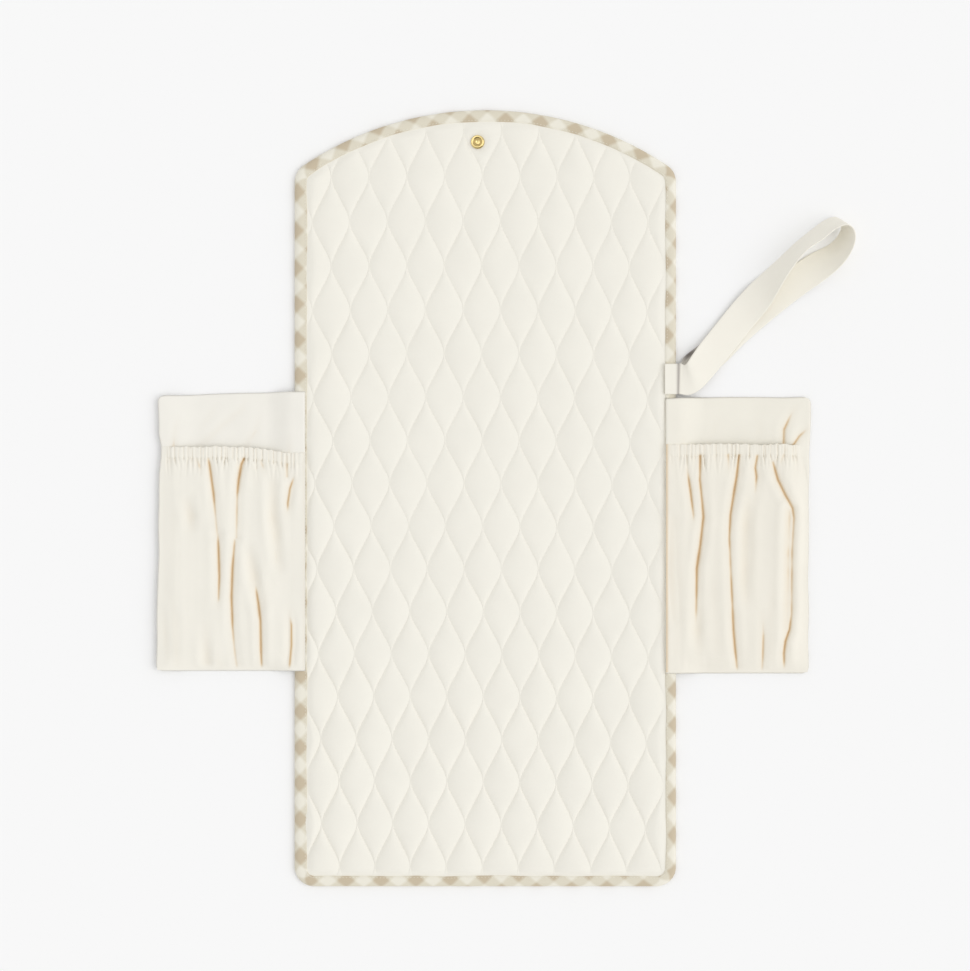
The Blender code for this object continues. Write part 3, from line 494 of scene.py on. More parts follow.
for part, (body, fold, past) in BENDS.items():
    places, outward = pad_edge(part)
    along = np.concatenate([[0.0], np.cumsum(np.linalg.norm(np.diff(places, axis=0), axis=1))])
    insets = np.array([inset for inset, _ in BINDING_SECTION])
    heights = np.array([height for _, height in BINDING_SECTION])
    points = np.empty((len(places), len(insets), 3))
    shown = np.interp(along * 1000, *np.array(TAPE_SHOWN[part]).T) / 1000
    shown = shown + 0.0004 * ripple(along, 0.0 * along, 0.05, 3.0)
    inward = insets[None, :] * np.where(insets > 0.003, shown[:, None] / BINDING_WIDTH, 1.0)
    points[:, :, :2] = places[:, None, :] - outward[:, None, :] * inward[:, :, None]
    pucker = 0.00012 * np.sin(along * 2 * math.pi / 0.0052 + 3 * ripple(along, along, 0.04, 5.0))
    bulge = smooth((insets - 0.002) / 0.004) * (heights > 0.003)
    points[:, :, 2] = heights[None, :] + pucker[:, None] * bulge[None, :]
    binding = grid_object(f"binding_{part}", points, binding_cloth, turn_over=True)
    across = np.concatenate([[0.0], np.cumsum(np.hypot(np.diff(insets), np.diff(heights)))])
    marks, checks, shifts = np.array(TAPE_LAY[part]).T
    u = np.interp(along * 1000, marks, checks) * TAPE_REPEAT
    v = across[None, :] - np.interp(along * 1000, marks, shifts)[:, None] / 1000
    corners = np.empty(len(binding.data.loops), dtype=np.int32)
    binding.data.loops.foreach_get("vertex_index", corners)
    layer = binding.data.uv_layers.new(name="cloth")
    uv = np.stack([np.repeat(u, len(insets))[corners], v.ravel()[corners]], axis=-1)
    layer.data.foreach_set("uv", uv.astype(np.float32).ravel())
    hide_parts("left_binding", "right_binding", f"{body}_binding")
    bend(binding, body, fold, past)

    spots = np.arange(0.002, along[-1], STITCH_LENGTH)
    inner = places - outward * (shown[:, None] - 0.0014)
    centres = np.stack(
        [np.interp(spots, along, inner[:, 0]), np.interp(spots, along, inner[:, 1]),
         np.full(len(spots), BINDING_TOP + 0.0001)], axis=-1,
    )
    ways = np.stack(
        [np.interp(spots, along, -outward[:, 1]), np.interp(spots, along, outward[:, 0]), 0.0 * spots],
        axis=-1,
    )
    topstitch = stitches(f"binding_thread_{part}", centres, ways)
    bend(topstitch, body, fold, past)

# The wings: two layers of plain cotton turned and pressed flat, sewn over the side binding and
# dropping over the pad's edge to the table. Their free band above each pocket is softly creased.
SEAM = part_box("right_wing_front")[0].x
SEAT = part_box("right_wing_back")[1].z - 0.0006
WING_BODY = 0.0014
WING_CORNER = 0.006
WING_REACH = 0.13
WING_BEND = 0.012
WELD = 1e-7
WING_SIDES = {"left": -1.0, "right": 1.0}
WING_COLOUR = {"left": (0.912, 0.888, 0.820), "right": (0.900, 0.868, 0.775)}
# Painted shade for creases: a warm colour, with a darker core where a groove is deepest
CREASE_SHADE_COLOUR = (0.74, 0.57, 0.36)
CREASE_SHADE_CORE = 0.42
FOLD_RISE = 0.0007
FOLD_AWAY = 0.0075
FOLD_WIDTH = 0.0040
VALLEY_DEPTH = 0.0014
VALLEY_WIDTH = 0.0048
GROOVE_DEPTH = 0.0022
SHADE_WIDTH = 0.0034
WING_ROWS = 170
WING_COLUMNS = 110
# Outer edge as places along the pad and out from the seam, then upper edge as places out from the
# seam and along the pad, and the height of the lower edge, all in millimetres
WING_OUTLINE = {
    "left": (
        [(-160, 136.8), (-139, 136.4), (-31, 134.6), (23, 134.0), (38, 132.4), (48, 132.0), (58, 134.4),
         (98, 135.4)],
        [(0, 98.0), (60, 96.4), (136, 94.0)], -158.3,
    ),
    "right": (
        [(-161, 131.8), (-100, 131.4), (0, 131.4), (40, 131.8), (52, 132.8), (95, 133.4)],
        [(0, 91.6), (30, 92.6), (134, 92.8)], -160.6,
    ),
}
# Creases as places out from the seam and along the pad in millimetres, with the crease's strength
WING_CREASES = {
    "left": [
        [(121, 46, 0.5), (119, 64, 0.3), (115, 78, 0.0)],
        [(98, 46, 0.3), (77, 66, 0.35), (58, 82, 0.25), (55, 92, 0.1)],
        [(56, 46, 0.3), (46, 61, 0.35), (42, 78, 0.05)],
        [(15, 40, 0.5), (14, 56, 0.1)],
        [(100, 60, 0.0), (86, 78, 0.2), (80, 90, 0.0)],
    ],
    "right": [
        [(120, 85, 0.1), (114, 74, 0.55), (109, 63, 0.85), (108.5, 46, 0.8)],
        [(131, 64, 0.3), (123, 57, 0.7), (115.5, 46, 0.8)],
        [(17, 60, 0.1), (15, 47, 0.35)],
        [(84, 78, 0.0), (86, 62, 0.2), (84, 50, 0.0)],
        [(52, 82, 0.0), (44, 62, 0.15), (40, 50, 0.0)],
    ],
}


def wing_under(out):
    """Height of a wing's under side at a distance out from its seam."""
    return SEAT * (1.0 - smooth((out - 0.0106) / 0.026))


def wing_curl(out, hand):
    """The left wing's outer edge lifts a little off the table."""
    return (0.0042 if hand == "left" else 0.0008) * smooth((out - 0.095) / 0.042)


def wing_reach(y, hand):
    places, reaches = np.array(WING_OUTLINE[hand][0]).T / 1000
    return np.interp(y, places, reaches) + 0.0004 * ripple(y, 0.0 * y, 0.05, 6.0 + WING_SIDES[hand])


def wing_top(out, hand):
    places, heights = np.array(WING_OUTLINE[hand][1]).T / 1000
    return np.interp(out, places, heights) + 0.0003 * ripple(out, 0.0 * out, 0.05, 8.0)


def crease_field(out, y, routes, spread=1.0):
    """Rise beside a set of creases and drop into them, and how deep in a crease each place lies, which sets
    the painted shade there.

    A weak crease is a soft valley, and a strong one a narrow groove between two folds.
    """
    rise = np.zeros(out.shape)
    deep = np.zeros(out.shape)
    for route in routes:
        nearest = np.full(out.shape, 1.0)
        strength = np.zeros(out.shape)
        for start, end in zip(route, route[1:]):
            ahead, up = (end[0] - start[0]) / 1000, (end[1] - start[1]) / 1000
            from_x, from_y = out - start[0] / 1000, y - start[1] / 1000
            share = np.clip((from_x * ahead + from_y * up) / (ahead ** 2 + up ** 2), 0.0, 1.0)
            gap = np.hypot(from_x - share * ahead, from_y - share * up)
            strength = np.where(gap < nearest, start[2] + (end[2] - start[2]) * share, strength)
            nearest = np.minimum(nearest, gap)
        nearest = nearest / spread
        strength = strength * (1.0 + 0.10 * ripple(out, y, 0.022, 31.0))
        width = 0.0007 + 0.0008 * strength
        sharp = smooth((strength - 0.33) / 0.40)
        rise += strength * (
            FOLD_RISE * np.exp(-((nearest - FOLD_AWAY) / FOLD_WIDTH) ** 2)
            - VALLEY_DEPTH * np.exp(-(nearest / VALLEY_WIDTH) ** 2)
            - GROOVE_DEPTH * sharp * np.exp(-(nearest / width) ** 2)
        )
        # Painted shade: a dark core in each strong groove and a soft band beside every crease
        groove = sharp * np.exp(-(nearest / width / 0.8) ** 2)
        groove = groove + 0.16 * strength * np.exp(-(nearest / SHADE_WIDTH) ** 2)
        deep = np.maximum(deep, groove)
    return rise, deep


def folded_cotton(name, colour, crease_colour=CREASE_SHADE_COLOUR):
    """Plain cotton, warmer where light is lost between two folds."""
    made, tree, shader = new_surface(name)
    ground = patchy(tree, colour, 30.0)
    depth = add_node(tree, "ShaderNodeAttribute", attribute_name="crease").outputs["Fac"]
    darker = arithmetic(tree, "MULTIPLY", arithmetic(tree, "POWER", depth, 4.0), CREASE_SHADE_CORE)
    core = [channel * channel for channel in crease_colour]
    groove = add_node(
        tree, "ShaderNodeMix", {0: darker, 6: (*crease_colour, 1.0), 7: (*core, 1.0)}, data_type="RGBA"
    )
    tint = add_node(
        tree, "ShaderNodeMix", {0: depth, 6: ground, 7: groove.outputs[2]}, data_type="RGBA"
    )
    tree.links.new(tint.outputs[2], shader.inputs["Base Color"])
    weave_bump(tree, shader)
    return made


def add_crease_shade(made, values):
    layer = made.data.attributes.new("crease", "FLOAT", "POINT")
    layer.data.foreach_set("value", np.clip(values, 0.0, 1.0).astype(np.float32).ravel())


def close_mesh(made, split_ends):
    """Welds a rolled-up cloth along its seam and closes its ends."""
    mesh = bmesh.new()
    mesh.from_mesh(made.data)
    bmesh.ops.remove_doubles(mesh, verts=mesh.verts[:], dist=WELD)
    bmesh.ops.holes_fill(mesh, edges=[edge for edge in mesh.edges if edge.is_boundary], sides=0)
    if split_ends:
        bmesh.ops.triangulate(mesh, faces=[face for face in mesh.faces if len(face.verts) > 4])
    bmesh.ops.recalc_face_normals(mesh, faces=mesh.faces[:])
    for face in mesh.faces:
        face.smooth = True
    mesh.to_mesh(made.data)
    mesh.free()


wing_bend = {
    hand: ((side * SEAM, 0.0, 0.0), (side * (SEAM + WING_BEND), 0.0, 0.0))
    for hand, side in WING_SIDES.items()
}
for hand, side in WING_SIDES.items():
    rows = np.linspace(0.0, 1.0, WING_ROWS + 1)
    share = np.linspace(0.0, 1.0, WING_COLUMNS + 1)
    level, share = np.meshgrid(rows, share, indexing="ij")
    bottom = WING_OUTLINE[hand][2] / 1000
    height = wing_top(WING_REACH * share, hand) - bottom
    from_end = np.minimum(level, 1.0 - level) * height
    corner = np.sqrt(np.maximum(WING_CORNER ** 2 - np.maximum(WING_CORNER - from_end, 0.0) ** 2, 0.0))
    reach = wing_reach(bottom + level * height, hand) - WING_CORNER + corner
    out = share * reach
    y = bottom + level * (wing_top(out, hand) - bottom)
    from_edge = np.minimum(np.minimum(reach - out, from_end), out)
    round_edge = np.sqrt(np.clip(from_edge / 0.0010, 0.0, 1.0))
    folds, deep = crease_field(out, y, WING_CREASES[hand])
    soft = 0.0004 * ripple(out * 0.9 + side * 0.3 * y, 0.3 * y, 0.045, 7.0 + side)
    free = smooth((out - 0.010) / 0.02) * smooth(from_edge / 0.010)
    lift = 0.0012 * smooth((out - 0.02) / 0.02) * smooth(from_edge / 0.02) + (soft + folds * 0.6) * free
    middle = wing_under(out) + wing_curl(out, hand) + WING_BODY / 2 + 0.0001
    top = middle + WING_BODY / 2 * round_edge + np.maximum(lift, -0.0003)
    under = middle - WING_BODY / 2 * round_edge
    x = side * (SEAM + out)
    upper_face = np.stack([x, y, top], axis=-1)
    ring = np.concatenate(
        [upper_face, np.stack([x, y, under], axis=-1)[:, ::-1], upper_face[:, :1]], axis=1
    )
    wing_cloth = folded_cotton(f"{hand}_wing_cotton", WING_COLOUR[hand])
    wing = grid_object(f"{hand}_wing_sheet", ring, wing_cloth, turn_over=side < 0)
    # Painted shade in the wing's creases
    add_crease_shade(wing, np.concatenate([deep, 0.0 * deep, deep[:, :1]], axis=1))
    close_mesh(wing, split_ends=True)
    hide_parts(f"{hand}_wing_front", f"{hand}_wing_back")
    bend(wing, f"{hand}_wing", *wing_bend[hand])

# The pockets: a wide cotton sheet gathered on an elastic at its mouth and pleated into the hem,
# so that it stands in long soft folds with deep creases. Sewn to the wing on three sides.
POCKET_MARGIN = 0.0012
POCKET_SEAM = 0.0006
POCKET_EASE = 0.016
POCKET_CREST = 0.0080
POCKET_MOST = 0.0096
POCKET_COLOUR = {"left": (0.905, 0.876, 0.792), "right": (0.895, 0.858, 0.765)}
POCKET_SEAM_SHADE = {"left": 0.10, "right": 0.85}
CASING = 0.0095
GATHERS = 58
POCKET_COLUMNS = 220
POCKET_ROWS = 210
# Mouth and outer edge as places out from the seam and along the pad, in millimetres
POCKET_MOUTH = {
    "left": [(0, 41), (16, 41), (36, 44), (56, 46.5), (140, 46.5)],
    "right": [(0, 48.6), (140, 48.6)],
}
POCKET_EDGE = {
    "left": [(-165, 140), (20, 140), (34, 132.6), (48, 130.6)],
    "right": [(-165, 140), (5, 131), (25, 129), (40, 125.6), (50, 125)],
}
POCKET_CREASES = {
    "left": [
        [(89, 38, 0.4), (87.5, 30, 0.9), (84, 4, 0.8), (82, -17, 0.52), (80.5, -33, 0.48)],
        [(80, -33, 0.48), (79.3, -50, 0.9), (78.7, -72, 0.85), (79.3, -92, 0.5), (80, -104, 0.0)],
        [(54.5, 40, 0.5), (58.5, 31, 1.0), (61, 17, 1.0), (62.2, 4, 0.62), (63, -36, 0.50)],
        [(64.5, -38, 0.50), (66.6, -63, 0.85), (67.6, -90, 0.95), (66.6, -117, 0.7), (65, -136, 0.50),
         (62.5, -157, 0.50)],
        [(54, -42, 0.1), (49, -61, 0.3), (45.5, -80, 0.45), (43, -96, 0.85), (41, -112, 0.95),
         (40.5, -139, 0.8), (40, -157, 0.5)],
        [(31.5, 13, 0.2), (31, -12, 0.4), (28.5, -36, 0.4), (26, -58, 0.35), (20.5, -72, 0.0)],
        [(16.3, 38, 0.6), (16.6, 20, 0.5)],
        [(9.8, 21, 0.3), (13.8, 9, 0.85), (15.8, -4, 0.75), (16.3, -18, 0.1)],
        [(15.2, -100, 0.1), (12.6, -116, 0.7), (12.5, -134, 0.9), (14.4, -156, 0.7)],
        [(34, -80, 0.1), (38, -96, 0.35), (41, -104, 0.3)],
        [(131.5, -104, 0.1), (128.7, -125, 0.35), (126, -146, 0.2)],
        [(122, -85, 0.0), (119, -110, 0.25), (118, -140, 0.3), (117, -156, 0.2)],
        [(92.5, -124, 0.0), (91.5, -147, 0.35), (91, -157, 0.3)],
        [(83, -138, 0.0), (77, -156, 0.35)],
        [(26, -138, 0.0), (16, -146, 0.3)],
        [(100, 40, 0.35), (97, 30, 0.55), (93.5, 20, 0.1)],
        [(124, 37, 0.35), (129, 18, 0.1)],
        [(42, 38, 0.4), (39, 30, 0.5), (35.5, 20, 0.1)],
        [(46.3, 27, 0.3), (45.5, 14, 0.1)],
        [(28.7, 38, 0.4), (24.7, 22, 0.15)],
        [(118, 0, 0.0), (121, -30, 0.15), (120, -70, 0.0)],
        [(105, 10, 0.0), (110, -22, 0.18), (104, -40, 0.0)],
    ],
    "right": [
        [(19.8, 27, 0.4), (22.8, 7, 0.9), (25.5, -15, 0.6), (25.5, -32, 0.0)],
        [(32, 40, 0.7), (31.4, 17, 0.7), (33.6, -4, 0.75), (34.7, -17, 0.9), (32, -42, 1.0),
         (28.7, -64, 1.0), (28.2, -96, 0.65), (27.4, -135, 0.1)],
        [(57.4, 40, 0.6), (57.9, 24, 0.3)],
        [(67.4, 40, 0.7), (65.2, 20, 0.9), (61.7, -1, 0.95), (59.5, -15, 0.8), (58.4, -36, 0.62),
         (59.8, -69, 0.60), (61.1, -96, 0.7), (62.2, -120, 0.9), (63.8, -139, 0.8), (66, -158, 0.5)],
        [(84.1, 39, 0.6), (82.2, 28, 0.7), (83.3, 20, 0.75), (81.7, -1, 0.2)],
        [(80, -4, 0.2), (79, -50, 0.28), (77.5, -96, 0.05)],
        [(98.4, 33, 0.6), (103, 17, 1.0), (109.8, 3, 1.0), (116.5, -9, 0.75), (117.8, -18, 0.62),
         (116, -47, 0.56), (115.7, -80, 0.58), (115.5, -106, 0.6), (113.8, -120, 0.65), (109.8, -131, 1.0),
         (108.4, -142, 0.9), (109, -158, 0.4)],
        [(89, -106, 0.2), (89.5, -126, 0.6), (88.7, -159, 0.55)],
        [(3, 44, 0.3), (8.5, 23, 0.1)],
        [(26, 37, 0.35), (25.5, 27, 0.1)],
        [(46.3, 38, 0.35), (48.2, 26, 0.1)],
        [(110, 44, 0.5), (105.5, 33, 0.4), (104, 27, 0.1)],
        [(119.2, 40, 0.35), (120.6, 22, 0.1)],
        [(98, -60, 0.0), (96, -110, 0.2), (98, -150, 0.1)],
        [(46, -40, 0.0), (44, -90, 0.18), (47, -140, 0.1)],
        [(10, -20, 0.0), (13, -80, 0.2), (10, -140, 0.1)],
    ],
}
# Broad hollows between the folds, given like the creases
POCKET_HOLLOWS = {
    "left": [
        [(110, 4, 0.0), (105, -16, 0.30), (104, -34, 0.0)],
        [(52, -40, 0.0), (47, -72, 0.33), (43, -96, 0.1)],
        [(30, 20, 0.1), (29, -20, 0.30), (24, -62, 0.1)],
        [(92, -110, 0.0), (90, -150, 0.25)],
    ],
    "right": [
        [(114, -12, 0.38), (112.5, -50, 0.38), (112, -95, 0.38), (111, -122, 0.2)],
        [(76, -2, 0.1), (73, -24, 0.30), (72, -80, 0.24), (74, -105, 0.0)],
        [(6, -20, 0.1), (5, -70, 0.25), (8, -110, 0.1)],
        [(31, -90, 0.0), (29, -120, 0.25), (30, -150, 0.0)],
    ],
}
turned_in = [(0.0009 * math.sin(a), 0.0009 * (1.0 - math.cos(a))) for a in np.linspace(0.0, math.pi, 8)]
turned_in += [(-0.004, 0.0019), (-0.009, 0.0020)]
gather_dice = np.random.default_rng(11)
for hand, side in WING_SIDES.items():
    bottom = WING_OUTLINE[hand][2] / 1000 + POCKET_MARGIN
    rows = np.concatenate([np.linspace(0.0, 1.0, POCKET_ROWS + 1)[:-1], np.ones(len(turned_in))])
    past = np.concatenate([np.zeros(POCKET_ROWS), [ahead for ahead, _ in turned_in]])[:, None]
    drop = np.concatenate([np.zeros(POCKET_ROWS), [down for _, down in turned_in]])[:, None]
    level, share = np.meshgrid(rows, np.linspace(0.0, 1.0, POCKET_COLUMNS + 1), indexing="ij")
    mouth_x, mouth_y = np.array(POCKET_MOUTH[hand]).T / 1000
    edge_y, edge_x = np.array(POCKET_EDGE[hand]).T / 1000
    y = bottom + level * (np.interp(WING_REACH * share, mouth_x, mouth_y) - bottom)
    reach = np.minimum(wing_reach(y, hand) - POCKET_MARGIN, np.interp(y, edge_y, edge_x))
    out = POCKET_SEAM + share * (reach - POCKET_SEAM)
    mouth = np.interp(out, mouth_x, mouth_y) + 0.0005 * ripple(out, 0.0 * out, 0.03, 21.0 + side)
    y = bottom + level * (mouth - bottom)
    below = mouth - y
    flange = wing_under(out) + wing_curl(out, hand) + WING_BODY + 0.0005
    up = smooth((reach - out) / POCKET_EASE) ** 0.7 * smooth((y - bottom) / POCKET_EASE) ** 0.7
    plain = flange + (np.maximum(POCKET_CREST, flange + 0.0006) - flange) * up

    gathers = []
    for i in range(GATHERS):
        place = 128 * (i + gather_dice.uniform(0.1, 0.9)) / GATHERS
        length = gather_dice.uniform(4, 22)
        top = 1000 * np.interp(place / 1000, mouth_x, mouth_y)
        strength = gather_dice.uniform(0.2, 1.0)
        lean = gather_dice.uniform(-0.2, 0.2)
        low_end = (place + lean * length, top - 1000 * CASING - length, 0.03)
        gathers.append([(place, top + 1, strength), (place, top - 1000 * CASING, strength), low_end])
    folds, deep = crease_field(out, y, POCKET_CREASES[hand])
    small, small_deep = crease_field(out, y, gathers, spread=0.24)
    hollow, hollow_deep = crease_field(out, y, POCKET_HOLLOWS[hand], spread=1.2)
    sway = out + 0.004 * np.sin(y / 0.038 + side) + 0.002 * ripple(out, y, 0.09, 11.0 + side)
    broad = ripple(sway, 0.10 * y, 0.030, 12.0 + side)
    fine = ripple(out, 0.02 * y, 0.0075, 16.0 + side)
    near_mouth = np.exp(-np.maximum(below - CASING, 0.0) / 0.016)
    near_hem = np.exp(-np.maximum(y - bottom, 0.0) / 0.014)
    rise = folds + 4.5 * hollow + 0.70 * small + 0.00042 * broad * (1.0 - 0.6 * near_mouth)
    rise = rise + 0.00022 * fine * (0.1 + near_mouth + 0.5 * near_hem)

    in_casing = smooth((CASING - below) / 0.0014)
    pleats = np.sin(out / 0.0034 * 2 * math.pi + 4.0 * ripple(out, 0.1 * y, 0.030, 18.0 + side))
    pleats = 0.00012 * pleats * (1.0 + 0.8 * ripple(out, 0.0 * out, 0.02, 19.0)) + 0.26 * small
    roll = 0.0004 * np.sin(math.pi * np.clip(below / CASING, 0.0, 1.0))
    pinch = 0.0003 * np.exp(-((below - CASING) / 0.0009) ** 2)
    settle = smooth((reach - out) / 0.008) * smooth((y - bottom) / 0.006) * smooth((out + 0.002) / 0.008)
    height = plain + settle * (rise * (1.0 - in_casing) + (pleats + 0.35 * folds) * in_casing + roll - pinch)
    height = np.clip(height, flange - 0.0001, POCKET_MOST) - drop * (0.35 + 0.65 * settle)
    scallop = 0.0004 * np.sin(out / 0.0072 * 2 * math.pi + 2.0 * ripple(out, 0.0 * out, 0.03, 22.0))
    points = np.stack([side * (SEAM + out), y + past + scallop * in_casing * settle, height], axis=-1)
    pocket_cloth = folded_cotton(f"{hand}_pocket_cotton", POCKET_COLOUR[hand])
    pocket = grid_object(f"{hand}_pocket_cloth", points, pocket_cloth, turn_over=side < 0)
    # Painted shade in the creases, the broad hollows and the gathers under the mouth, and a painted shadow
    # along the seam
    tint = np.maximum(deep, 3.0 * hollow_deep) * (1.0 - 0.75 * in_casing)
    tint = np.maximum(tint, 0.24 * small_deep) * settle
    tint = np.maximum(tint, POCKET_SEAM_SHADE[hand] * np.exp(-((out - POCKET_SEAM) / 0.0017) ** 2))
    add_crease_shade(pocket, tint)
    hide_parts(f"{hand}_pocket", f"{hand}_pocket_elastic")
    bend(pocket, f"{hand}_wing", *wing_bend[hand])

# The wrist strap: cotton tape folded and sewn along both edges, doubled into a loop. Its two ends
# lie stacked on the right binding, and the loop is twisted so that its near strand lies flat.
STRAP_LOW, STRAP_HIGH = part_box("strap_anchor")
STRAP_MIDDLE = (STRAP_LOW.y + STRAP_HIGH.y) / 2
STRAP_WIDTH = 0.0280
STRAP_SHADE = (0.30, 0.27, 0.255)
STRAP_THICKNESS = 0.0010
STRAP_HEADING = math.radians(42.5)
STRAP_COLOUR = (0.935, 0.903, 0.812)
STRAP_STEPS = 10
strap_cloth = folded_cotton("strap_cotton", STRAP_COLOUR, STRAP_SHADE)
LOWER_END = STRAP_LOW.z + STRAP_THICKNESS / 2
UPPER_END = STRAP_HIGH.z - STRAP_THICKNESS / 2
# Along and across the strap's heading, height, tilt and turn of the tape's width
STRAP_STATIONS = [
    (0.0050, 0.0030, 0.0040, 1.0, -36.0),
    (0.0130, 0.0030, 0.0020, 1.0, -22.0),
    (0.0260, 0.0042, 0.0012, 1.0, -6.0),
    (0.0440, 0.0054, 0.0011, 1.0, 0.0),
    (0.0720, 0.0042, 0.0011, 1.5, 0.0),
    (0.1070, 0.0054, 0.0012, 2.0, -2.0),
    (0.1380, 0.0078, 0.0018, 3.0, -4.0),
    (0.1650, 0.0116, 0.0046, 15.0, -4.0),
    (0.1860, 0.0142, 0.0098, 42.0, -2.0),
    (0.2010, 0.0108, 0.0124, 52.0, -4.0),
    (0.2090, 0.0030, 0.0136, 55.0, 0.0),
    (0.2082, -0.0045, 0.0138, 60.0, 6.0),
    (0.1990, -0.0090, 0.0138, 63.0, 4.0),
    (0.1835, -0.0105, 0.0136, 62.0, 0.0),
    (0.1645, -0.0123, 0.0136, 65.0, 0.0),
    (0.1420, -0.0103, 0.0128, 57.0, 0.0),
    (0.1240, -0.0076, 0.0110, 42.0, 0.0),
    (0.1030, -0.0044, 0.0072, 15.0, 6.0),
    (0.0840, -0.0020, 0.0038, 3.0, 8.0),
    (0.0620, 0.0014, 0.0029, 0.0, 8.0),
    (0.0410, 0.0046, 0.0042, -3.0, 5.0),
    (0.0260, 0.0070, 0.0064, -7.0, -4.0),
    (0.0140, 0.0086, 0.0078, -8.0, -18.0),
    (0.0066, 0.0072, 0.0062, -4.0, -34.0),
    (0.0030, 0.0026, 0.0056, 0.0, -44.0),
]


def strap_frame(station):
    """Centre and width direction of the tape at a station."""
    along, across, height, tilt, skew = station
    ahead = np.array([math.cos(STRAP_HEADING), math.sin(STRAP_HEADING), 0.0])
    aside = np.array([math.sin(STRAP_HEADING), -math.cos(STRAP_HEADING), 0.0])
    turn = STRAP_HEADING - math.pi / 2 + math.radians(skew)
    lean = math.radians(tilt)
    width = np.array([math.cos(turn) * math.cos(lean), math.sin(turn) * math.cos(lean), math.sin(lean)])
    root = np.array([PAD_EDGE, STRAP_MIDDLE, height])
    return root + ahead * along + aside * across, width


def spline(points, share):
    """A Catmull-Rom curve between the middle two of four points."""
    before, start, end, after = points
    square = share * share
    cube = square * share
    return (
        start * (2 * cube - 3 * square + 1) + (end - before) / 2 * (cube - 2 * square + share)
        + end * (3 * square - 2 * cube) + (after - start) / 2 * (cube - square)
    )


across_pad = np.array([0.0, -1.0, 0.0])
end_places = (STRAP_LOW.x, STRAP_LOW.x + 0.005, STRAP_HIGH.x - 0.001)
lower = [(np.array([x, STRAP_MIDDLE, LOWER_END]), across_pad) for x in end_places]
upper = [(np.array([x, STRAP_MIDDLE, UPPER_END]), across_pad) for x in reversed(end_places)]
frames = lower + [strap_frame(station) for station in STRAP_STATIONS] + upper
frames = [frames[0]] + frames + [frames[-1]]
path = []
for i in range(1, len(frames) - 2):
    for k in range(STRAP_STEPS):
        path.append([spline([spot[j] for spot in frames[i - 1:i + 3]], k / STRAP_STEPS) for j in (0, 1)])
path.append(list(frames[-1]))
centres = np.array([centre for centre, _ in path])
widths = np.array([width / np.linalg.norm(width) for _, width in path])
ahead = np.gradient(centres, axis=0)
faces = np.cross(ahead, widths)
faces /= np.linalg.norm(faces, axis=1)[:, None]
TAPE_SECTION = [
    (-1.0, 0.0), (-0.985, 0.8), (-0.90, 1.0), (-0.80, 0.86), (-0.70, 1.0), (0.0, 1.05), (0.70, 1.0),
    (0.80, 0.86), (0.90, 1.0), (0.985, 0.8), (1.0, 0.0),
]
section = TAPE_SECTION + [(-across, -up) for across, up in TAPE_SECTION[1:]]
rings = np.stack(
    [
        centres + widths * (STRAP_WIDTH / 2 * across) + faces * (STRAP_THICKNESS / 2 * up)
        for across, up in section
    ],
    axis=1,
)
strap = grid_object("wrist_strap_tape", rings, strap_cloth, turn_over=True)
heading = np.array([math.cos(STRAP_HEADING), math.sin(STRAP_HEADING), 0.0])
reached = (centres - np.array([PAD_EDGE, STRAP_MIDDLE, 0.0])) @ heading
# Painted shadow: a dark strip along the lower strand's left edge near the root, and painted shade in the gap
# where the strap leaves the pad's edge
lower_strand = np.arange(len(path)) < len(path) // 2
left_edge = smooth((-0.55 - np.array([across for across, _ in section])) / 0.3)
root_shadow_strip = lower_strand[:, None] * np.exp(-((reached - 0.022) / 0.016) ** 2)[:, None] * left_edge[None, :]
edge_gap_shade = 0.75 * np.exp(-((centres[:, 0] - PAD_EDGE - 0.0016) / 0.0016) ** 2)
add_crease_shade(strap, np.maximum(root_shadow_strip, edge_gap_shade[:, None]))
close_mesh(strap, split_ends=False)
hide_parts("wrist_strap", "strap_anchor")
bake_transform(strap)

# The press stud: stamped brass, plated light gold. The socket with its split spring shows on the
# flap's inner face, its cap on the outside of the flap, and the stud on the back of the foot.
GOLD_LIGHT = (0.93, 0.74, 0.34)
GOLD_DARK = (0.30, 0.19, 0.05)
SEGMENTS = 64
SNAP_RADIUS = 0.0064
SHARP_ANGLE = math.radians(40)


def metal(name, light, dark, centre, rings, roughness):
    """Plated metal, darker by given amounts in rings round its axis; on the socket these rings are painted
    shade and a painted reflection.
    """
    made = bpy.data.materials.new(name)
    made.use_nodes = True
    tree = made.node_tree
    shader = tree.nodes["Principled BSDF"]
    shader.inputs["Metallic"].default_value = 1.0
    place = add_node(tree, "ShaderNodeTexCoord").outputs["Object"]
    parts = add_node(tree, "ShaderNodeSeparateXYZ", {0: place})
    away_x = arithmetic(tree, "SUBTRACT", parts.outputs[0], centre[0])
    away_y = arithmetic(tree, "SUBTRACT", parts.outputs[1], centre[1])
    flat = add_node(tree, "ShaderNodeCombineXYZ", {0: away_x, 1: away_y})
    radius = add_node(tree, "ShaderNodeVectorMath", {0: flat.outputs[0]}, operation="LENGTH")
    share = arithmetic(tree, "DIVIDE", radius.outputs["Value"], SNAP_RADIUS)
    ramp = add_node(tree, "ShaderNodeValToRGB", {0: share})
    ramp.color_ramp.elements.remove(ramp.color_ramp.elements[1])
    ramp.color_ramp.elements[0].position = 0.0
    for i, (spot, shade) in enumerate(rings):
        stop = ramp.color_ramp.elements[0] if i == 0 else ramp.color_ramp.elements.new(spot)
        stop.color = (*[a + (b - a) * shade for a, b in zip(light, dark)], 1.0)
    tree.links.new(ramp.outputs["Color"], shader.inputs["Base Color"])
    wear = add_node(tree, "ShaderNodeTexNoise", {"Vector": place, "Scale": 700.0, "Detail": 4.0})
    rough = add_node(
        tree, "ShaderNodeMapRange",
        {0: wear.outputs["Fac"], 1: 0.3, 2: 0.7, 3: roughness * 0.7, 4: roughness * 1.3},
    )
    tree.links.new(rough.outputs[0], shader.inputs["Roughness"])
    return made


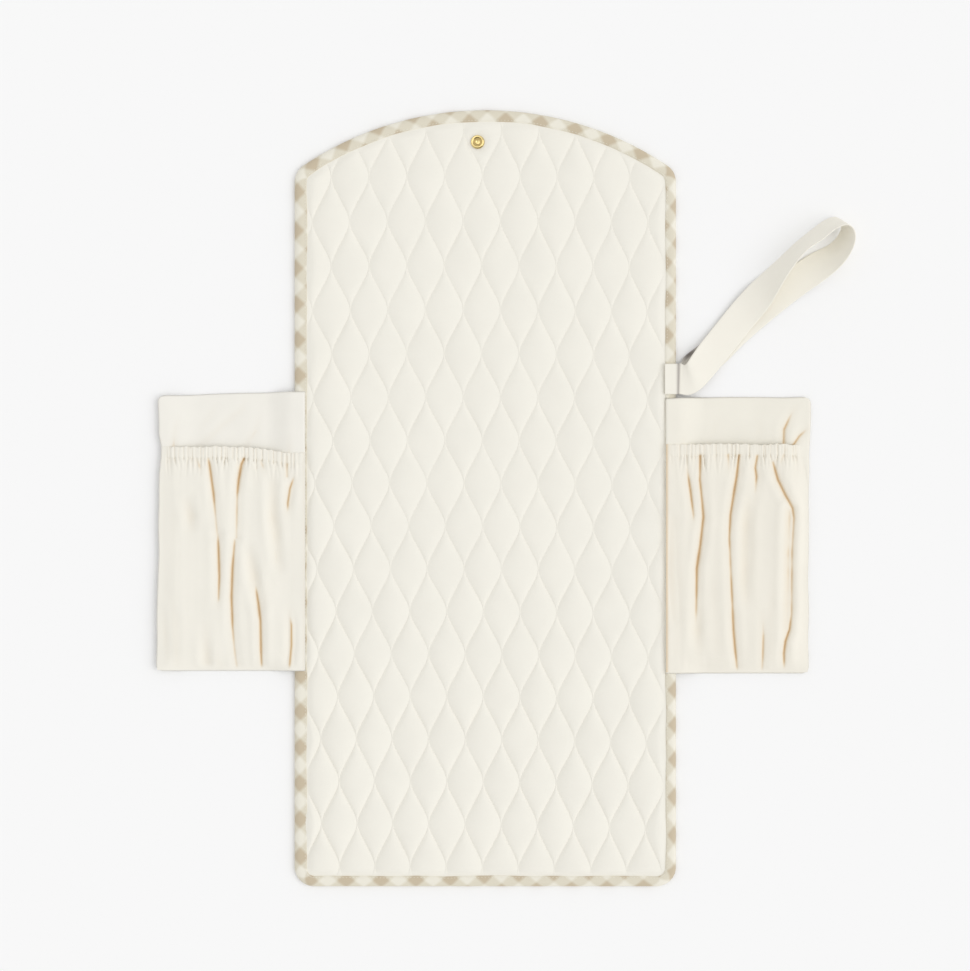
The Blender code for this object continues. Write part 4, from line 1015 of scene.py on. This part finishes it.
def turned(name, profile, centre, surface):
    """A body turned about a vertical axis from (radius, height) points, in millimetres."""
    mesh = bmesh.new()
    points = [mesh.verts.new((r / 1000, 0.0, h / 1000)) for r, h in profile]
    edges = [mesh.edges.new(pair) for pair in zip(points, points[1:])]
    bmesh.ops.spin(
        mesh, geom=points + edges, cent=(0, 0, 0), axis=(0, 0, 1), angle=2 * math.pi, steps=SEGMENTS,
        use_merge=True,
    )
    bmesh.ops.remove_doubles(mesh, verts=mesh.verts[:], dist=WELD)
    bmesh.ops.translate(mesh, verts=mesh.verts[:], vec=centre)
    bmesh.ops.recalc_face_normals(mesh, faces=mesh.faces[:])
    data = bpy.data.meshes.new(name)
    mesh.to_mesh(data)
    mesh.free()
    data.shade_smooth()
    data.set_sharp_from_angle(angle=SHARP_ANGLE)
    data.materials.append(surface)
    return add_object(name, data)


snap_at = (SNAP_X, SNAP_Y, 0.0)
stud_at = (SNAP_X, STUD_Y, 0.0)
# Painted shade in the recess round the post and a painted dark reflection on the outer flank
socket_gold_shaded = metal(
    "socket_gold_shaded", GOLD_LIGHT, GOLD_DARK, snap_at,
    [(0.0, 0.0), (0.24, 0.0), (0.38, 0.55), (0.54, 0.65), (0.62, 0.15), (0.70, 0.0), (0.87, 0.0),
     (0.96, 0.4), (1.0, 0.7)],
    0.20,
)
plain_gold = metal("plain_gold", GOLD_LIGHT, GOLD_DARK, snap_at, [(0.0, 0.1)], 0.20)
steel = metal("spring_steel", (0.66, 0.65, 0.62), (0.3, 0.3, 0.3), snap_at, [(0.0, 0.0)], 0.3)
socket = turned("snap_socket_ring", [
    (0.0, 4.8), (6.05, 4.8), (6.25, 5.0), (6.25, 5.8), (6.15, 6.2), (5.95, 6.5), (5.65, 6.8), (5.3, 7.0),
    (4.9, 7.1), (4.5, 7.05), (4.15, 6.85), (3.9, 6.55), (3.85, 6.3), (4.6, 6.2), (4.6, 5.3), (0.0, 5.3),
], snap_at, socket_gold_shaded)
post = turned("snap_post", [
    (0.0, 5.35), (1.2, 5.35), (1.5, 5.6), (2.3, 5.9), (2.45, 6.05), (2.3, 6.2), (1.7, 6.15), (1.2, 5.9),
    (0.0, 5.8),
], snap_at, socket_gold_shaded)
cap = turned("snap_cap_dome", [
    (0.0, 0.9), (1.6, 0.96), (3.2, 1.15), (4.6, 1.55), (5.6, 2.2), (6.1, 2.75), (6.25, 3.1), (6.15, 3.4),
    (5.8, 3.5), (0.0, 3.5),
], snap_at, plain_gold)
stud = turned("snap_stud_ball", [
    (0.0, 0.75), (1.2, 0.7), (1.6, 0.5), (2.0, 0.37), (2.6, 0.35), (3.2, 0.5), (3.5, 0.8), (3.5, 1.1),
    (3.2, 1.4), (3.0, 1.65), (3.3, 1.75), (5.2, 1.75), (5.5, 1.9), (5.45, 2.15), (0.0, 2.15),
], stud_at, plain_gold)
patch = turned("stud_patch_cloth", [
    (0.0, 2.45), (8.0, 2.45), (8.2, 2.55), (8.15, 2.7), (0.0, 2.7),
], stud_at, lining_cloth)
SPRING_PLACES = 48
SPRING_RADIUS = 0.0041
SPRING_GAP = 20
SPRING_Z = 0.0059
WIRE_RADIUS = 0.0003
spring_rings = []
for i in range(SPRING_PLACES + 1):
    around = math.radians(SPRING_GAP + (360 - 2 * SPRING_GAP) * i / SPRING_PLACES)
    ring = []
    for turn in np.linspace(0.0, 2 * math.pi, 9):
        away = SPRING_RADIUS + WIRE_RADIUS * math.cos(turn)
        ring.append((
            SNAP_X + math.cos(around) * away, SNAP_Y + math.sin(around) * away,
            SPRING_Z + WIRE_RADIUS * math.sin(turn),
        ))
    spring_rings.append(ring)
spring = grid_object("snap_spring_wire", np.array(spring_rings), steel, turn_over=True)
for piece, body, slot, nodes in (
    (socket, "flap", "snap_brass", ["snap_socket"]), (post, "flap", "snap_brass", ["snap_cap"]),
    (cap, "flap", "snap_brass", ["snap_cap"]), (spring, "flap", "spring_steel", ["snap_spring"]),
    (stud, "foot", "snap_brass", ["snap_stud", "snap_rivet"]),
    (patch, "foot", "cotton_plain", ["stud_patch"]),
):
    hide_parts(*nodes)
    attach(piece, body)

# The stage: a pale sweep under the pad, an even fill all round and a broad soft light from the
# right, with the camera straight above.
FLOOR_Z = -0.0004
FLOOR_HALF = 6
FLOOR_COLOUR = (0.955, 0.955, 0.955)
floor_mesh = bpy.data.meshes.new("floor")
floor_mesh.from_pydata(
    [(x * FLOOR_HALF, y * FLOOR_HALF, FLOOR_Z) for x, y in ((-1, -1), (1, -1), (1, 1), (-1, 1))],
    [], [(0, 1, 2, 3)],
)
floor_surface = bpy.data.materials.new("floor_paper")
floor_surface.use_nodes = True
paper = floor_surface.node_tree.nodes["Principled BSDF"]
paper.inputs["Base Color"].default_value = (*FLOOR_COLOUR, 1.0)
paper.inputs["Roughness"].default_value = 1.0
paper.inputs["Specular IOR Level"].default_value = 0.0
floor_mesh.materials.append(floor_surface)
floor = add_object("floor", floor_mesh)

# The fill is even on cloth and floor. In the metal it shows as a room that is darker at the lower right.
FILL = 0.795
ROOM_BRIGHT_WAY = (-0.61, 0.61, 0.51)
ROOM_DARK = 0.03
ROOM_LIGHT = 1.35
world = bpy.data.worlds.new("studio")
world.use_nodes = True
sky = world.node_tree
way = add_node(sky, "ShaderNodeTexCoord").outputs["Generated"]
facing = add_node(sky, "ShaderNodeVectorMath", {0: way, 1: ROOM_BRIGHT_WAY}, operation="DOT_PRODUCT")
room = add_node(
    sky, "ShaderNodeMapRange",
    {0: facing.outputs["Value"], 1: -0.3, 2: 0.9, 3: ROOM_DARK, 4: ROOM_LIGHT},
)
mirrored = add_node(sky, "ShaderNodeLightPath").outputs["Is Glossy Ray"]
fill = add_node(sky, "ShaderNodeMix", {0: mirrored, 2: FILL, 3: room.outputs[0]}, data_type="FLOAT")
sky.nodes["Background"].inputs["Color"].default_value = (1.0, 1.0, 1.0, 1.0)
sky.links.new(fill.outputs[0], sky.nodes["Background"].inputs["Strength"])
bpy.context.scene.world = world

SUN_SHARE = 0.188
SUN_HEIGHT = math.radians(46)
SUN_WAY = math.radians(-8)
SUN_SPREAD = math.radians(50)
SUN_AWAY = 3.0
sun_data = bpy.data.lights.new("key", "SUN")
sun_data.angle = SUN_SPREAD
sun_data.energy = SUN_SHARE * math.pi / math.sin(SUN_HEIGHT)
sun = add_object("key", sun_data)
sideways = math.cos(SUN_HEIGHT)
toward = Vector((sideways * math.cos(SUN_WAY), sideways * math.sin(SUN_WAY), math.sin(SUN_HEIGHT)))
sun.rotation_euler = toward.to_track_quat("Z", "Y").to_euler()
sun.location = toward * SUN_AWAY

MM_PER_PIXEL = 0.91864
IMAGE_WIDTH = 970
CAMERA_HEIGHT = 3.0
CAMERA_X = -0.0003
CAMERA_Y = 0.0117
SENSOR = 36.0
camera_data = bpy.data.cameras.new("camera")
camera_data.sensor_width = SENSOR
camera_data.lens = SENSOR * CAMERA_HEIGHT / (IMAGE_WIDTH * MM_PER_PIXEL / 1000.0)
camera = add_object("camera", camera_data)
camera.location = (CAMERA_X, CAMERA_Y, CAMERA_HEIGHT)
bpy.context.scene.camera = camera
bpy.context.scene.view_settings.view_transform = "Standard"
